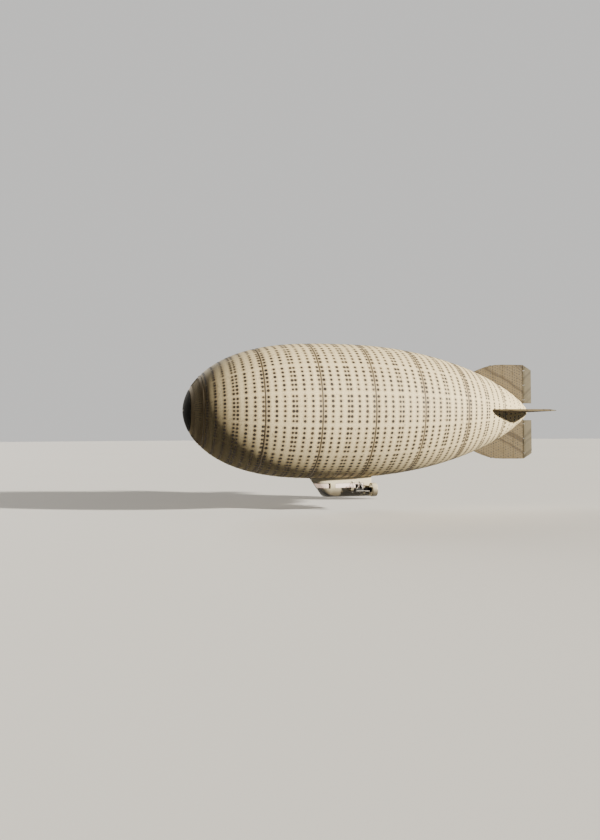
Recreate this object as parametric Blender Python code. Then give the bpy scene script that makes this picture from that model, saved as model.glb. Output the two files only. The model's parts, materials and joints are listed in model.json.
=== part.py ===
"""Small non-rigid airship: envelope, four tail fins, glazed gondola and two ducted propellers.

Metres, +X towards the nose, +Y to port, +Z up. The origin is the envelope's centre of buoyancy.
A station is a distance aft of the nose tip, and a height is measured from the envelope's axis.
"""
import math

import bmesh
import bpy
from mathutils import Vector

SEAT_GAP = 0.0003

# Envelope: a profile turned about the long axis
HULL_LENGTH = 38.8
HULL_RADIUS = 7.0
WIDEST_STATION = 16.3
BUOYANCY_STATION = 17.27
NOSE_FULLNESS = (2.95, 0.532)
TAIL_FULLNESS = (2.1, 0.782)
HULL_SIDES = 40
HULL_STATIONS = 26
FABRIC_THICKNESS = 0.010
TAIL_DISC_STATION = 38.75

# Nose cap: a dome that laps over the front of the fabric
CAP_LAP_START = 0.35
CAP_RIM_STATION = 0.55
CAP_PROUD = 0.020
CAP_DEPTH = 0.030
MAST_FACE_RADIUS = 0.30
MAST_FACE_STATION = 0.0148

# Tail: fins, and the rudders and elevators on their hinge line
HINGE_STATION = 38.32
FIN_THICKNESS = 0.20
FIN_REAR_GAP = 0.12
FIN_EDGE = [(31.6, 4.18), (33.55, 4.98), (34.5, 5.20), (35.6, 5.28)]
FIN_TIP = 5.30
FIN_ROOT = 0.30
FLAP_ROOT = 0.95
FLAP_TIP_AT_NOSE = 5.30
FLAP_TIP_AT_EDGE = 4.70
FLAP_CHORD = 1.01
FLAP_NOSE_RADIUS = 0.09
FLAP_EDGE_HALF = 0.035
PIN_RADIUS = 0.030
PIN_SIDES = 16
FLAP_BORE_RADIUS = 0.0307
LUG_BORE_RADIUS = 0.0304
LUG_RADIUS = 0.060
LUG_SPANS = (1.35, 3.00, 4.65)
LUG_THICKNESS = 0.05
LUG_CLEARANCE = 0.010
NOTCH_DEPTH = 0.075

# Gondola: a slab under the envelope, a glazed band and a tub, with a raked oval bow
WALL = 0.06
HALF_BEAM = 1.05
BOW_STATION = 15.0
STERN_STATION = 19.5
BOW_SEGMENTS = 12
SLAB_TOP = -6.80
SLAB_UNDERSIDE = -7.25
WALL_FOOT = -8.05
BILGE_TOP = -8.55
BELLY = -8.97
FLOOR = -8.87
BOW_FOOT_STATION = 14.17
BOW_RAKE = 0.714
# Tub rows below the wall: height, how far in from the beam, bow station
BILGE_ROWS = [(BILGE_TOP, 0.0, 14.17), (-8.72, 0.06, 14.30), (-8.86, 0.20, 14.45),
              (-8.93, 0.42, 14.62), (BELLY, 0.60, 14.80)]
# Tub rows inside, from the floor up
INNER_ROWS = [(FLOOR, 0.32, 14.66), (-8.72, 0.14, 14.40), (BILGE_TOP, WALL, 14.25)]

WINDOW_TOP = -7.50
WINDOW_FOOT = -7.98
MULLION_HALF = 0.04
WINDSHIELD_END = 14.93
GLASS_INSET = 0.020
GLASS_THICKNESS = 0.010
PORT_WINDOW = (15.51, 18.60)
STARBOARD_WINDOW = (16.62, 18.60)

# Door, on the starboard side, hinged at its front edge
DOORWAY = (15.55, 16.45)
DOOR_TOP = -7.33
DOOR_FOOT = -8.49
DOOR_THICKNESS = 0.05
DOOR_EDGE_GAP = 0.010
DOOR_WINDOW = (15.70, 16.30)
DOOR_AXIS_OUT = 0.022
DOOR_PIN_RADIUS = 0.008
DOOR_KNUCKLE_BORE = 0.0087
DOOR_KNUCKLE_RADIUS = 0.016
DOOR_HINGE_HEIGHTS = {"upper": -7.42, "lower": -8.30}

# Engine pods, one each side
POD_OUT = 1.90
SHAFT_HEIGHT = -8.17
CRANKCASE_LOW = (17.30, 1.6803, -8.37)
CRANKCASE_HIGH = (18.25, 2.10, -7.97)
CYLINDER_STATIONS = (17.56, 17.98)
CYLINDER_LEAN = math.radians(20)
BARREL_RADIUS = 0.105
COOLING_FIN_RADIUS = 0.135
COOLING_FINS = 3
COOLING_PITCH = 0.10
CYLINDER_SIDES = 10
HEAD_RADIUS = 0.112
HEAD_LENGTH = 0.12
BORE_RADIUS = 0.0407
SHAFT_RADIUS = 0.040
DUCT_SIDES = 24
NACELLE_RADIUS = 0.27
NACELLE_SIDES = 16
VANES = 5
BLADES = 4
BLADE_STATION = 19.38
# Blade sections: radius, chord, pitch in degrees
BLADE_SECTIONS = [(0.09, 0.10, 50), (0.35, 0.13, 32), (0.62, 0.09, 22)]


def at(station):
    """X of a station."""
    return BUOYANCY_STATION - station


def hull_radius(station):
    """Radius of the envelope at a station."""
    if station < WIDEST_STATION:
        reach = (WIDEST_STATION - station) / WIDEST_STATION
        power, root = NOSE_FULLNESS
    else:
        reach = (station - WIDEST_STATION) / (HULL_LENGTH - WIDEST_STATION)
        power, root = TAIL_FULLNESS
    return HULL_RADIUS * max(1 - reach ** power, 0) ** root


def hull_offset(station, distance):
    """Station and radius of the point that lies a distance outside the profile."""
    step = 0.001
    slope = (hull_radius(station + step) - hull_radius(station - step)) / (2 * step)
    length = math.hypot(1, slope)
    return station - distance * slope / length, hull_radius(station) + distance / length


def material(name, color, roughness, metallic=0.0, alpha=1.0):
    surface = bpy.data.materials.new(name)
    surface.use_nodes = True
    shader = surface.node_tree.nodes["Principled BSDF"]
    shader.inputs["Base Color"].default_value = (*color, 1.0)
    shader.inputs["Roughness"].default_value = roughness
    shader.inputs["Metallic"].default_value = metallic
    shader.inputs["Alpha"].default_value = alpha
    return surface


def solid(name, verts, faces, surface=None, origin=(0, 0, 0)):
    """An object with its faces pointing out and its origin at a given point."""
    mesh = bpy.data.meshes.new(name)
    origin = Vector(origin)
    mesh.from_pydata([Vector(v) - origin for v in verts], [], faces)
    shape = bmesh.new()
    shape.from_mesh(mesh)
    bmesh.ops.recalc_face_normals(shape, faces=shape.faces)
    shape.to_mesh(mesh)
    shape.free()
    mesh.shade_smooth()
    mesh.set_sharp_from_angle(angle=math.radians(35))
    if surface:
        mesh.materials.append(surface)
    piece = bpy.data.objects.new(name, mesh)
    piece.location = origin
    bpy.context.scene.collection.objects.link(piece)
    return piece


def loft(name, rings, surface=None, origin=(0, 0, 0), hoop=False):
    """Skin over rings of points: capped at both ends, or joined end to end as a hoop."""
    count = len(rings[0])
    verts = [point for ring in rings for point in ring]
    faces = []
    pairs = [(i, i + 1) for i in range(len(rings) - 1)]
    if hoop:
        pairs.append((len(rings) - 1, 0))
    else:
        faces.append(list(range(count)))
        faces.append([(len(rings) - 1) * count + k for k in range(count)])
    for a, b in pairs:
        for k in range(count):
            n = (k + 1) % count
            faces.append([a * count + k, a * count + n, b * count + n, b * count + k])
    return solid(name, verts, faces, surface, origin)


def turned(name, profile, sides, surface=None, center=(0, 0, 0), hoop=False):
    """Turn a profile of (station, radius) rows about a line along X through center's Y and Z."""
    spin = [2 * math.pi * k / sides for k in range(sides)]
    rings = []
    for station, radius in profile:
        ring = [(at(station), center[1] + radius * math.sin(a), center[2] + radius * math.cos(a)) for a in spin]
        rings.append(ring)
    return loft(name, rings, surface, center, hoop)


def block(name, low, high, surface=None, origin=None):
    """A box between two corners given as (station, y, height)."""
    (s0, y0, z0), (s1, y1, z1) = low, high
    foot = [(at(s0), y0, z0), (at(s1), y0, z0), (at(s1), y1, z0), (at(s0), y1, z0)]
    top = [(x, y, z1) for x, y, z in foot]
    center = (at((s0 + s1) / 2), (y0 + y1) / 2, (z0 + z1) / 2)
    return loft(name, [foot, top], surface, origin or center)


def side_prism(name, outline, y0, y1, surface=None):
    """An outline of (station, height) points carried across from y0 to y1."""
    rings = [[(at(s), y, z) for s, z in outline] for y in (y0, y1)]
    return loft(name, rings, surface, rings[0][0])


def tube(name, path, radius, surface=None, sides=10, bore=0.0):
    """A round bar along (station, y, height) points, or a sleeve along the first and last."""
    points = [Vector((at(s), y, z)) for s, y, z in path]
    forward = (points[1] - points[0]).normalized()
    across = forward.orthogonal().normalized()
    rings = []
    for i, point in enumerate(points):
        ahead = (points[min(i + 1, len(points) - 1)] - points[max(i - 1, 0)]).normalized()
        across = (across - ahead * across.dot(ahead)).normalized()
        other = ahead.cross(across)
        rings.append([point + radius * (across * math.cos(a) + other * math.sin(a))
                      for a in (2 * math.pi * k / sides for k in range(sides))])
    if not bore:
        return loft(name, rings, surface, points[0])
    outer = [rings[0], rings[-1]]
    inner = [[c + (p - c) * (bore / radius) for p in ring] for c, ring in
             ((points[-1], rings[-1]), (points[0], rings[0]))]
    return loft(name, outer + inner, surface, points[0], hoop=True)


def combine(target, helper, operation):
    """Cut a helper from the target, or join it on, and keep the helper as a guide."""
    step = target.modifiers.new(helper.name, "BOOLEAN")
    step.operation = operation
    step.solver = "EXACT"
    step.object = helper
    helper.hide_render = True
    helper.display_type = "WIRE"


def cut(target, *helpers):
    for helper in helpers:
        combine(target, helper, "DIFFERENCE")
    return target


def join(target, *helpers):
    for helper in helpers:
        combine(target, helper, "UNION")
    return target


# Envelope and nose cap

def hull_stations():
    """Stations close together at the ends and wide apart amidships."""
    half = HULL_LENGTH / 2
    spaced = [half * (1 - math.cos(math.pi * i / HULL_STATIONS)) for i in range(3, HULL_STATIONS)]
    return [CAP_LAP_START, CAP_RIM_STATION] + spaced + [TAIL_DISC_STATION]


def make_envelope(fabric):
    outer = [(s, hull_radius(s)) for s in hull_stations()]
    inner = [hull_offset(s, -FABRIC_THICKNESS) for s in hull_stations()[:-1]]
    inner[0] = (CAP_LAP_START, inner[0][1])
    return turned("envelope", outer[::-1] + inner, HULL_SIDES, fabric)


def make_hull_cutter():
    """The envelope's outside, a hair larger, that trims what stands on it."""
    rows = [(s, hull_radius(s) + 1.5 * SEAT_GAP) for s in hull_stations()]
    return turned("hull_cutter", rows, HULL_SIDES)


def make_nose_cap(shell):
    front = [MAST_FACE_STATION, 0.06, 0.14, 0.24]
    outside = [hull_offset(s, CAP_PROUD) for s in front + [CAP_LAP_START, CAP_RIM_STATION]]
    outside[0] = (-CAP_PROUD, MAST_FACE_RADIUS)
    lap = [(s, hull_radius(s) + 1.5 * SEAT_GAP) for s in (CAP_RIM_STATION, CAP_LAP_START - 0.001)]
    step = [(CAP_LAP_START - 0.001, hull_offset(CAP_LAP_START, -CAP_DEPTH)[1])]
    inside = [hull_offset(s, -CAP_DEPTH) for s in front[:0:-1]]
    return turned("nose_cap", outside + lap + step + inside, HULL_SIDES, shell)


# Tail

def across_span(name, outline, span0, span1, surface=None, origin=(0, 0, 0)):
    """An outline of (station, y) points carried out along the span, which is local Z."""
    rings = [[(at(s), y, span) for s, y in outline] for span in (span0, span1)]
    return loft(name, rings, surface, origin)


def circle(radius, sides=PIN_SIDES, station=HINGE_STATION, y=0.0):
    spin = [2 * math.pi * (k + 0.5) / sides for k in range(sides)]
    return [(station + radius * math.cos(a), y + radius * math.sin(a)) for a in spin]


def make_fin(name, turn, skin, hull_cutter):
    rear = HINGE_STATION - FIN_REAR_GAP
    outline = FIN_EDGE + [(rear, FIN_TIP), (rear, FIN_ROOT), (FIN_EDGE[0][0], 3.0)]
    half = FIN_THICKNESS / 2
    rings = [[(at(s), y, z) for s, z in outline] for y in (-half, half)]
    fin = loft(name, rings, skin)
    pieces = [fin]
    for i, span in enumerate(LUG_SPANS):
        low, high = span - LUG_THICKNESS / 2, span + LUG_THICKNESS / 2
        neck = [(rear - 0.05, -0.04), (HINGE_STATION, -0.04), (HINGE_STATION, 0.04), (rear - 0.05, 0.04)]
        arm = across_span(f"{name}_neck_{i}", neck, low, high)
        eye = across_span(f"{name}_eye_{i}", circle(LUG_RADIUS), low, high)
        join(fin, arm, eye)
        pieces += [arm, eye]
    bore = across_span(f"{name}_bore", circle(LUG_BORE_RADIUS), FLAP_ROOT, FIN_TIP)
    cut(fin, bore, hull_cutter)
    for piece in pieces + [bore]:
        piece.rotation_euler = (turn, 0, 0)


def make_flap(name, turn, skin):
    """A rudder or elevator: round nose on the hinge axis, straight sides to a thin rear edge."""
    hinge = (at(HINGE_STATION), 0, 0)
    edge = HINGE_STATION + FLAP_CHORD
    nose_angles = [math.radians(90 + 22.5 * k) for k in range(9)]
    outline = [(HINGE_STATION + FLAP_NOSE_RADIUS * math.cos(a), FLAP_NOSE_RADIUS * math.sin(a))
               for a in nose_angles]
    outline += [(edge, -FLAP_EDGE_HALF), (edge, FLAP_EDGE_HALF)]
    nose = HINGE_STATION - FLAP_NOSE_RADIUS
    slope = (FLAP_TIP_AT_EDGE - FLAP_TIP_AT_NOSE) / (edge - nose)
    root = [(at(s), y, FLAP_ROOT) for s, y in outline]
    tip = [(at(s), y, FLAP_TIP_AT_NOSE + slope * (s - nose)) for s, y in outline]
    flap = loft(name, [root, tip], skin, hinge)
    bore = across_span(f"{name}_bore", circle(FLAP_BORE_RADIUS), FLAP_ROOT - 0.1, FIN_TIP + 0.1, origin=hinge)
    notches = []
    for i, span in enumerate(LUG_SPANS):
        half = LUG_THICKNESS / 2 + LUG_CLEARANCE
        box = [(nose - 0.1, -0.15), (HINGE_STATION + NOTCH_DEPTH, -0.15),
               (HINGE_STATION + NOTCH_DEPTH, 0.15), (nose - 0.1, 0.15)]
        notches.append(across_span(f"{name}_notch_{i}", box, span - half, span + half, origin=hinge))
    cut(flap, bore, *notches)
    for piece in [flap, bore] + notches:
        piece.rotation_euler = (turn, 0, 0)


def make_pin(name, turn, steel):
    hinge = (at(HINGE_STATION), 0, 0)
    pin = across_span(name, circle(PIN_RADIUS), FLAP_ROOT + 0.01, FLAP_TIP_AT_NOSE - 0.09, steel, hinge)
    pin.rotation_euler = (turn, 0, 0)


# Gondola

def bow_front(height):
    """Station of the bow's foremost point at a height above the bilge."""
    return BOW_FOOT_STATION - BOW_RAKE * (height - BILGE_TOP)


def bow_arc(half_width, front, steps=BOW_SEGMENTS, from_y=None, end_station=BOW_STATION):
    """(station, y) points round the bow, the whole of it or its port side from from_y aft."""
    length = BOW_STATION - front
    last = math.acos(max((BOW_STATION - end_station) / length, 0))
    first = -last if from_y is None else math.asin(from_y / half_width)
    angles = [first + (last - first) * k / steps for k in range(steps + 1)]
    return [(BOW_STATION - length * math.cos(a), half_width * math.sin(a)) for a in angles]


def deck_ring(height, half_width, front, stern):
    """The gondola's outline at one height: round the bow, then square across the stern."""
    points = bow_arc(half_width, front) + [(stern, half_width), (stern, -half_width)]
    return [(at(s), y, height) for s, y in points]


def make_saddle(paint, hull_cutter):
    rings = [deck_ring(z, HALF_BEAM, bow_front(z), STERN_STATION) for z in (SLAB_UNDERSIDE, SLAB_TOP)]
    cut(loft("saddle", rings, paint, (0, 0, SLAB_UNDERSIDE)), hull_cutter)


def make_tub(paint):
    inner_stern = STERN_STATION - WALL
    inside = [deck_ring(z, HALF_BEAM - inset, front, inner_stern) for z, inset, front in INNER_ROWS]
    inside.append(deck_ring(WALL_FOOT, HALF_BEAM - WALL, bow_front(WALL_FOOT) + WALL, inner_stern))
    outside = [deck_ring(WALL_FOOT, HALF_BEAM, bow_front(WALL_FOOT), STERN_STATION)]
    outside += [deck_ring(z, HALF_BEAM - inset, front, STERN_STATION) for z, inset, front in BILGE_ROWS]
    tub = loft("tub", inside + outside, paint, (0, 0, FLOOR))
    cut(tub, block("tub_doorway", (DOORWAY[0], -1.2, DOOR_FOOT - DOOR_EDGE_GAP), (DOORWAY[1], -0.9, -7.9)))


def band_ring(height, outer_inset, inner_inset, **span):
    """A strip round the bow at one height, between two insets from the outside."""
    front = bow_front(height)
    outside = bow_arc(HALF_BEAM - outer_inset, front + outer_inset, **span)
    inside = bow_arc(HALF_BEAM - inner_inset, front + inner_inset, **span)
    return [(at(s), y, height) for s, y in outside + inside[::-1]]


def make_bow_frame(paint):
    heights = (WALL_FOOT + SEAT_GAP, SLAB_UNDERSIDE - SEAT_GAP)
    frame = loft("bow_frame", [band_ring(z, 0, WALL) for z in heights], paint, (0, 0, WALL_FOOT))
    for name, side in (("port", 1), ("starboard", -1)):
        opening = [(12.5, WINDOW_FOOT), (WINDSHIELD_END, WINDOW_FOOT),
                   (WINDSHIELD_END, WINDOW_TOP), (12.5, WINDOW_TOP)]
        cut(frame, side_prism(f"windshield_opening_{name}", opening, side * MULLION_HALF, side * 1.3))


def make_windshield(name, side, glass):
    rings = []
    for height in (WINDOW_FOOT + SEAT_GAP, WINDOW_TOP - SEAT_GAP):
        ring = band_ring(height, GLASS_INSET, GLASS_INSET + GLASS_THICKNESS, steps=8,
                         from_y=MULLION_HALF + SEAT_GAP, end_station=WINDSHIELD_END - SEAT_GAP)
        rings.append([(x, side * y, z) for x, y, z in ring])
    loft(name, rings, glass, (0, 0, WINDOW_FOOT))


def wall_block(name, side, stations, heights, depth, surface=None, outset=0.0):
    """A block in the side wall: stations and heights by pair, depth in from its outer face."""
    face = HALF_BEAM + outset
    y0, y1 = sorted((side * face, side * (face - depth)))
    return block(name, (stations[0], y0, heights[0]), (stations[1], y1, heights[1]), surface)


def make_side_wall(name, side, openings, paint):
    heights = (WALL_FOOT + SEAT_GAP, SLAB_UNDERSIDE - SEAT_GAP)
    wall = wall_block(name, side, (BOW_STATION + SEAT_GAP, STERN_STATION), heights, WALL, paint)
    for i, (stations, levels) in enumerate(openings):
        cut(wall, wall_block(f"{name}_opening_{i}", side, stations, levels, WALL + 0.2, outset=0.1))


def make_side_window(name, side, stations, glass):
    fitted = (stations[0] + SEAT_GAP, stations[1] - SEAT_GAP)
    heights = (WINDOW_FOOT + SEAT_GAP, WINDOW_TOP - SEAT_GAP)
    return wall_block(name, side, fitted, heights, GLASS_THICKNESS, glass, outset=-GLASS_INSET)


def make_transom(paint):
    inner = HALF_BEAM - WALL - SEAT_GAP
    block("transom", (STERN_STATION - WALL, -inner, WALL_FOOT + SEAT_GAP),
          (STERN_STATION, inner, SLAB_UNDERSIDE - SEAT_GAP), paint)


def door_axis():
    """Station and y of the door's upright hinge axis."""
    return DOORWAY[0], -(HALF_BEAM + DOOR_AXIS_OUT)


def upright(name, height0, height1, radius, surface=None, sides=PIN_SIDES, origin=None):
    station, y = door_axis()
    rings = [[(at(s), py, z) for s, py in circle(radius, sides, station, y)] for z in (height0, height1)]
    return loft(name, rings, surface, origin or (at(station), y, height0))


def make_door(paint):
    station, y_axis = door_axis()
    origin = (at(station), y_axis, DOOR_FOOT)
    face = -HALF_BEAM
    front, rear = DOORWAY[0] + DOOR_EDGE_GAP, DOORWAY[1] - DOOR_EDGE_GAP
    door = block("door_starboard", (front, face, DOOR_FOOT), (rear, face + DOOR_THICKNESS, DOOR_TOP), paint, origin)
    cut(door, block("door_window_opening", (DOOR_WINDOW[0], face - 0.1, WINDOW_FOOT),
                    (DOOR_WINDOW[1], face + 0.1, WINDOW_TOP)))
    for name, height in DOOR_HINGE_HEIGHTS.items():
        knuckle = upright(f"door_knuckle_{name}", height - 0.03, height + 0.03, DOOR_KNUCKLE_RADIUS)
        web = block(f"door_web_{name}", (station, y_axis - 0.012, height - 0.028),
                    (station + 0.04, y_axis + 0.008, height + 0.028))
        strap = block(f"door_strap_{name}", (front + 0.004, y_axis - 0.004, height - 0.026),
                      (front + 0.13, face + 0.01, height + 0.026))
        join(door, knuckle, web, strap)
        cut(door, upright(f"door_bore_{name}", height - 0.1, height + 0.1, DOOR_KNUCKLE_BORE))


def make_door_hinge(name, height, steel):
    """A wall plate with two ears and the pin between them."""
    station, y_axis = door_axis()
    face = -HALF_BEAM - SEAT_GAP
    plate = block(name, (station - 0.08, face - 0.008, height - 0.055),
                  (station - 0.012, face, height + 0.055), steel)
    for end, sign in (("top", 1), ("foot", -1)):
        low, high = sorted((height + sign * 0.036, height + sign * 0.050))
        arm = block(f"{name}_arm_{end}", (station - 0.03, y_axis - 0.014, low), (station, face - 0.004, high))
        ear = upright(f"{name}_ear_{end}", low, high, DOOR_KNUCKLE_RADIUS)
        join(plate, arm, ear)
    join(plate, upright(f"{name}_pin", height - 0.043, height + 0.043, DOOR_PIN_RADIUS))


def make_seat(name, station, y0, y1, fabric):
    profile = [(0.10, 0.0), (0.42, 0.0), (0.42, 0.30), (0.60, 0.34), (0.72, 1.0), (0.62, 1.02),
               (0.50, 0.47), (0.0, 0.50), (0.0, 0.38), (0.10, 0.34)]
    outline = [(station + s, FLOOR + SEAT_GAP + z) for s, z in profile]
    side_prism(name, outline, y0, y1, fabric)


def make_console(plastic):
    outline = [(14.84, FLOOR + SEAT_GAP), (15.0, FLOOR + SEAT_GAP), (14.96, -8.30), (14.75, -8.10),
               (14.50, -8.12), (14.52, -8.2), (14.84, -8.45)]
    side_prism("console", outline, -0.5, 0.5, plastic)


# Engine pods

def mirrored(side, point):
    station, y, z = point
    return station, side * y, z


def pod_block(name, side, low, high, surface=None):
    y0, y1 = sorted((side * low[1], side * high[1]))
    return block(name, (low[0], y0, low[2]), (high[0], y1, high[2]), surface)


def make_cylinder(name, side, station, lean):
    """A finned barrel with a plain head, on the crankcase's top."""
    foot_y = (CRANKCASE_LOW[1] + CRANKCASE_HIGH[1]) / 2
    lift = Vector((0, side * math.sin(lean), math.cos(lean)))
    base = Vector((at(station), side * foot_y, CRANKCASE_HIGH[2] - 0.05))
    rows = [(0.0, BARREL_RADIUS)]
    for k in range(COOLING_FINS):
        start = 0.12 + COOLING_PITCH * k
        rows += [(start, BARREL_RADIUS), (start, COOLING_FIN_RADIUS),
                 (start + COOLING_PITCH / 2, COOLING_FIN_RADIUS), (start + COOLING_PITCH / 2, BARREL_RADIUS)]
    top = 0.12 + COOLING_PITCH * COOLING_FINS
    rows += [(top, BARREL_RADIUS), (top, HEAD_RADIUS), (top + HEAD_LENGTH, HEAD_RADIUS * 0.85)]
    fore, other = Vector((1, 0, 0)), lift.cross(Vector((1, 0, 0)))
    spin = [2 * math.pi * k / CYLINDER_SIDES for k in range(CYLINDER_SIDES)]
    rings = [[base + lift * rise + radius * (fore * math.cos(a) + other * math.sin(a)) for a in spin]
             for rise, radius in rows]
    return loft(name, rings)


def make_engine(name, side, iron):
    engine = pod_block(name, side, CRANKCASE_LOW, CRANKCASE_HIGH, iron)
    for i, station in enumerate(CYLINDER_STATIONS):
        for j, lean in enumerate((-CYLINDER_LEAN, CYLINDER_LEAN)):
            join(engine, make_cylinder(f"{name}_cylinder_{i}{j}", side, station, lean))


def make_intake(name, side, chrome):
    """Two pipes that meet at an air drum over the outer cylinders."""
    middle = sum(CYLINDER_STATIONS) / 2
    face = CRANKCASE_HIGH[1] + SEAT_GAP
    drum = tube(name, [mirrored(side, (middle - 0.12, 2.27, -7.46)), mirrored(side, (middle + 0.12, 2.27, -7.46))],
                0.065, chrome, 12)
    for i, reach in enumerate((-0.31, 0.31)):
        path = [(middle + reach * 0.15, 2.27, -7.46), (middle + reach * 0.9, 2.22, -7.92),
                (middle + reach, 2.18, -8.03), (middle + reach, face, -8.03)]
        join(drum, tube(f"{name}_pipe_{i}", [mirrored(side, p) for p in path], 0.033))


def make_exhaust(name, side, chrome):
    """A collector along the crankcase's outer side, with a tail pipe that bends round the nacelle."""
    face = CRANKCASE_HIGH[1] + SEAT_GAP
    path = [(17.42, 2.18, -8.22), (18.02, 2.18, -8.22), (18.14, 2.205, -8.225), (18.28, 2.25, -8.235),
            (18.42, 2.27, -8.245), (18.80, 2.27, -8.27)]
    pipe = tube(name, [mirrored(side, p) for p in path], 0.05, chrome, 12)
    for i, station in enumerate((17.52, 17.98)):
        stub = [(station, face, -8.22), (station, 2.18, -8.22)]
        join(pipe, tube(f"{name}_stub_{i}", [mirrored(side, p) for p in stub], 0.036))


def make_outrigger(name, side, steel):
    """Two A-frames and a brace from the cabin wall to the beam that carries the engine."""
    beam = pod_block(name, side, (17.30, 1.60, -8.21), (18.22, 1.68, -8.13), steel)
    knots = {"front": 17.36, "rear": 18.16}
    for end, station in knots.items():
        for level, height, foot in (("high", -7.38, -8.16), ("low", -8.42, -8.18)):
            pad = pod_block(f"{name}_pad_{end}_{level}", side, (station - 0.07, HALF_BEAM + SEAT_GAP, height - 0.075),
                            (station + 0.07, HALF_BEAM + 0.04, height + 0.075))
            strut = [(station, HALF_BEAM + 0.028, height), (station, 1.63, foot)]
            join(beam, pad, tube(f"{name}_strut_{end}_{level}", [mirrored(side, p) for p in strut], 0.025, sides=8))
    brace = [(knots["front"], HALF_BEAM + 0.028, -7.38), (knots["rear"], 1.63, -8.16)]
    join(beam, tube(f"{name}_brace", [mirrored(side, p) for p in brace], 0.018, sides=8))


def pod_center(side):
    return 0, side * POD_OUT, SHAFT_HEIGHT


def make_nacelle(name, side, black):
    front = CRANKCASE_HIGH[0] + SEAT_GAP
    profile = [(front, 0.19), (18.30, 0.24), (18.45, NACELLE_RADIUS), (19.20, NACELLE_RADIUS), (19.28, 0.20),
               (19.28, BORE_RADIUS), (19.10, BORE_RADIUS)]
    turned(name, profile, NACELLE_SIDES, black, pod_center(side))


def make_duct(name, side, paint):
    """A ring with vanes to a collar round the nacelle, and a bracket to the tub's side."""
    center = pod_center(side)
    profile = [(19.09, 0.675), (19.08, 0.690), (19.10, 0.706), (19.20, 0.715), (19.48, 0.708), (19.60, 0.692),
               (19.60, 0.684), (19.42, 0.665), (19.18, 0.662)]
    duct = turned(name, profile, DUCT_SIDES, paint, center, hoop=True)
    collar_bore = NACELLE_RADIUS + 1.2 * SEAT_GAP
    collar = turned(f"{name}_collar", [(19.09, collar_bore), (19.09, 0.292), (19.19, 0.292), (19.19, collar_bore)],
                    NACELLE_SIDES, None, center, hoop=True)
    join(duct, collar)
    for i in range(VANES):
        angle = 2 * math.pi * i / VANES
        out = Vector((0, side * math.sin(angle), math.cos(angle)))
        flat = Vector((0, out.z, -out.y))
        middle = Vector((at(19.14), center[1], center[2]))
        section = [(-0.035, 0.0), (0.0, 0.009), (0.035, 0.0), (0.0, -0.009)]
        rings = [[middle + out * reach + Vector((x, 0, 0)) + flat * w for x, w in section]
                 for reach in (0.283, 0.672)]
        join(duct, loft(f"{name}_vane_{i}", rings))
    join(duct, pod_block(f"{name}_bracket", side, (19.20, HALF_BEAM + SEAT_GAP, -8.24), (19.42, 1.215, -8.10)))


def make_propeller(name, side, metal):
    center = (at(BLADE_STATION), side * POD_OUT, SHAFT_HEIGHT)
    profile = [(19.115, SHAFT_RADIUS), (19.31, SHAFT_RADIUS), (19.31, 0.11), (19.45, 0.11), (19.52, 0.085),
               (19.58, 0.03)]
    hub = turned(name, profile, NACELLE_SIDES, metal, center)
    for i in range(BLADES):
        angle = 2 * math.pi * (i + 0.5) / BLADES
        out = Vector((0, math.sin(angle), math.cos(angle)))
        around = Vector((0, out.z, -out.y)) * side
        rings = []
        for radius, chord, pitch in BLADE_SECTIONS:
            lean = math.radians(pitch)
            along = Vector((math.sin(lean), 0, 0)) + around * math.cos(lean)
            thick = Vector((math.cos(lean), 0, 0)) - around * math.sin(lean)
            section = [(-0.5, 0.0), (-0.2, 0.09), (0.2, 0.07), (0.5, 0.0), (0.2, -0.05), (-0.2, -0.05)]
            rings.append([Vector(center) + out * radius + along * (u * chord) + thick * (w * chord)
                          for u, w in section])
        join(hub, loft(f"{name}_blade_{i}", rings))


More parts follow.
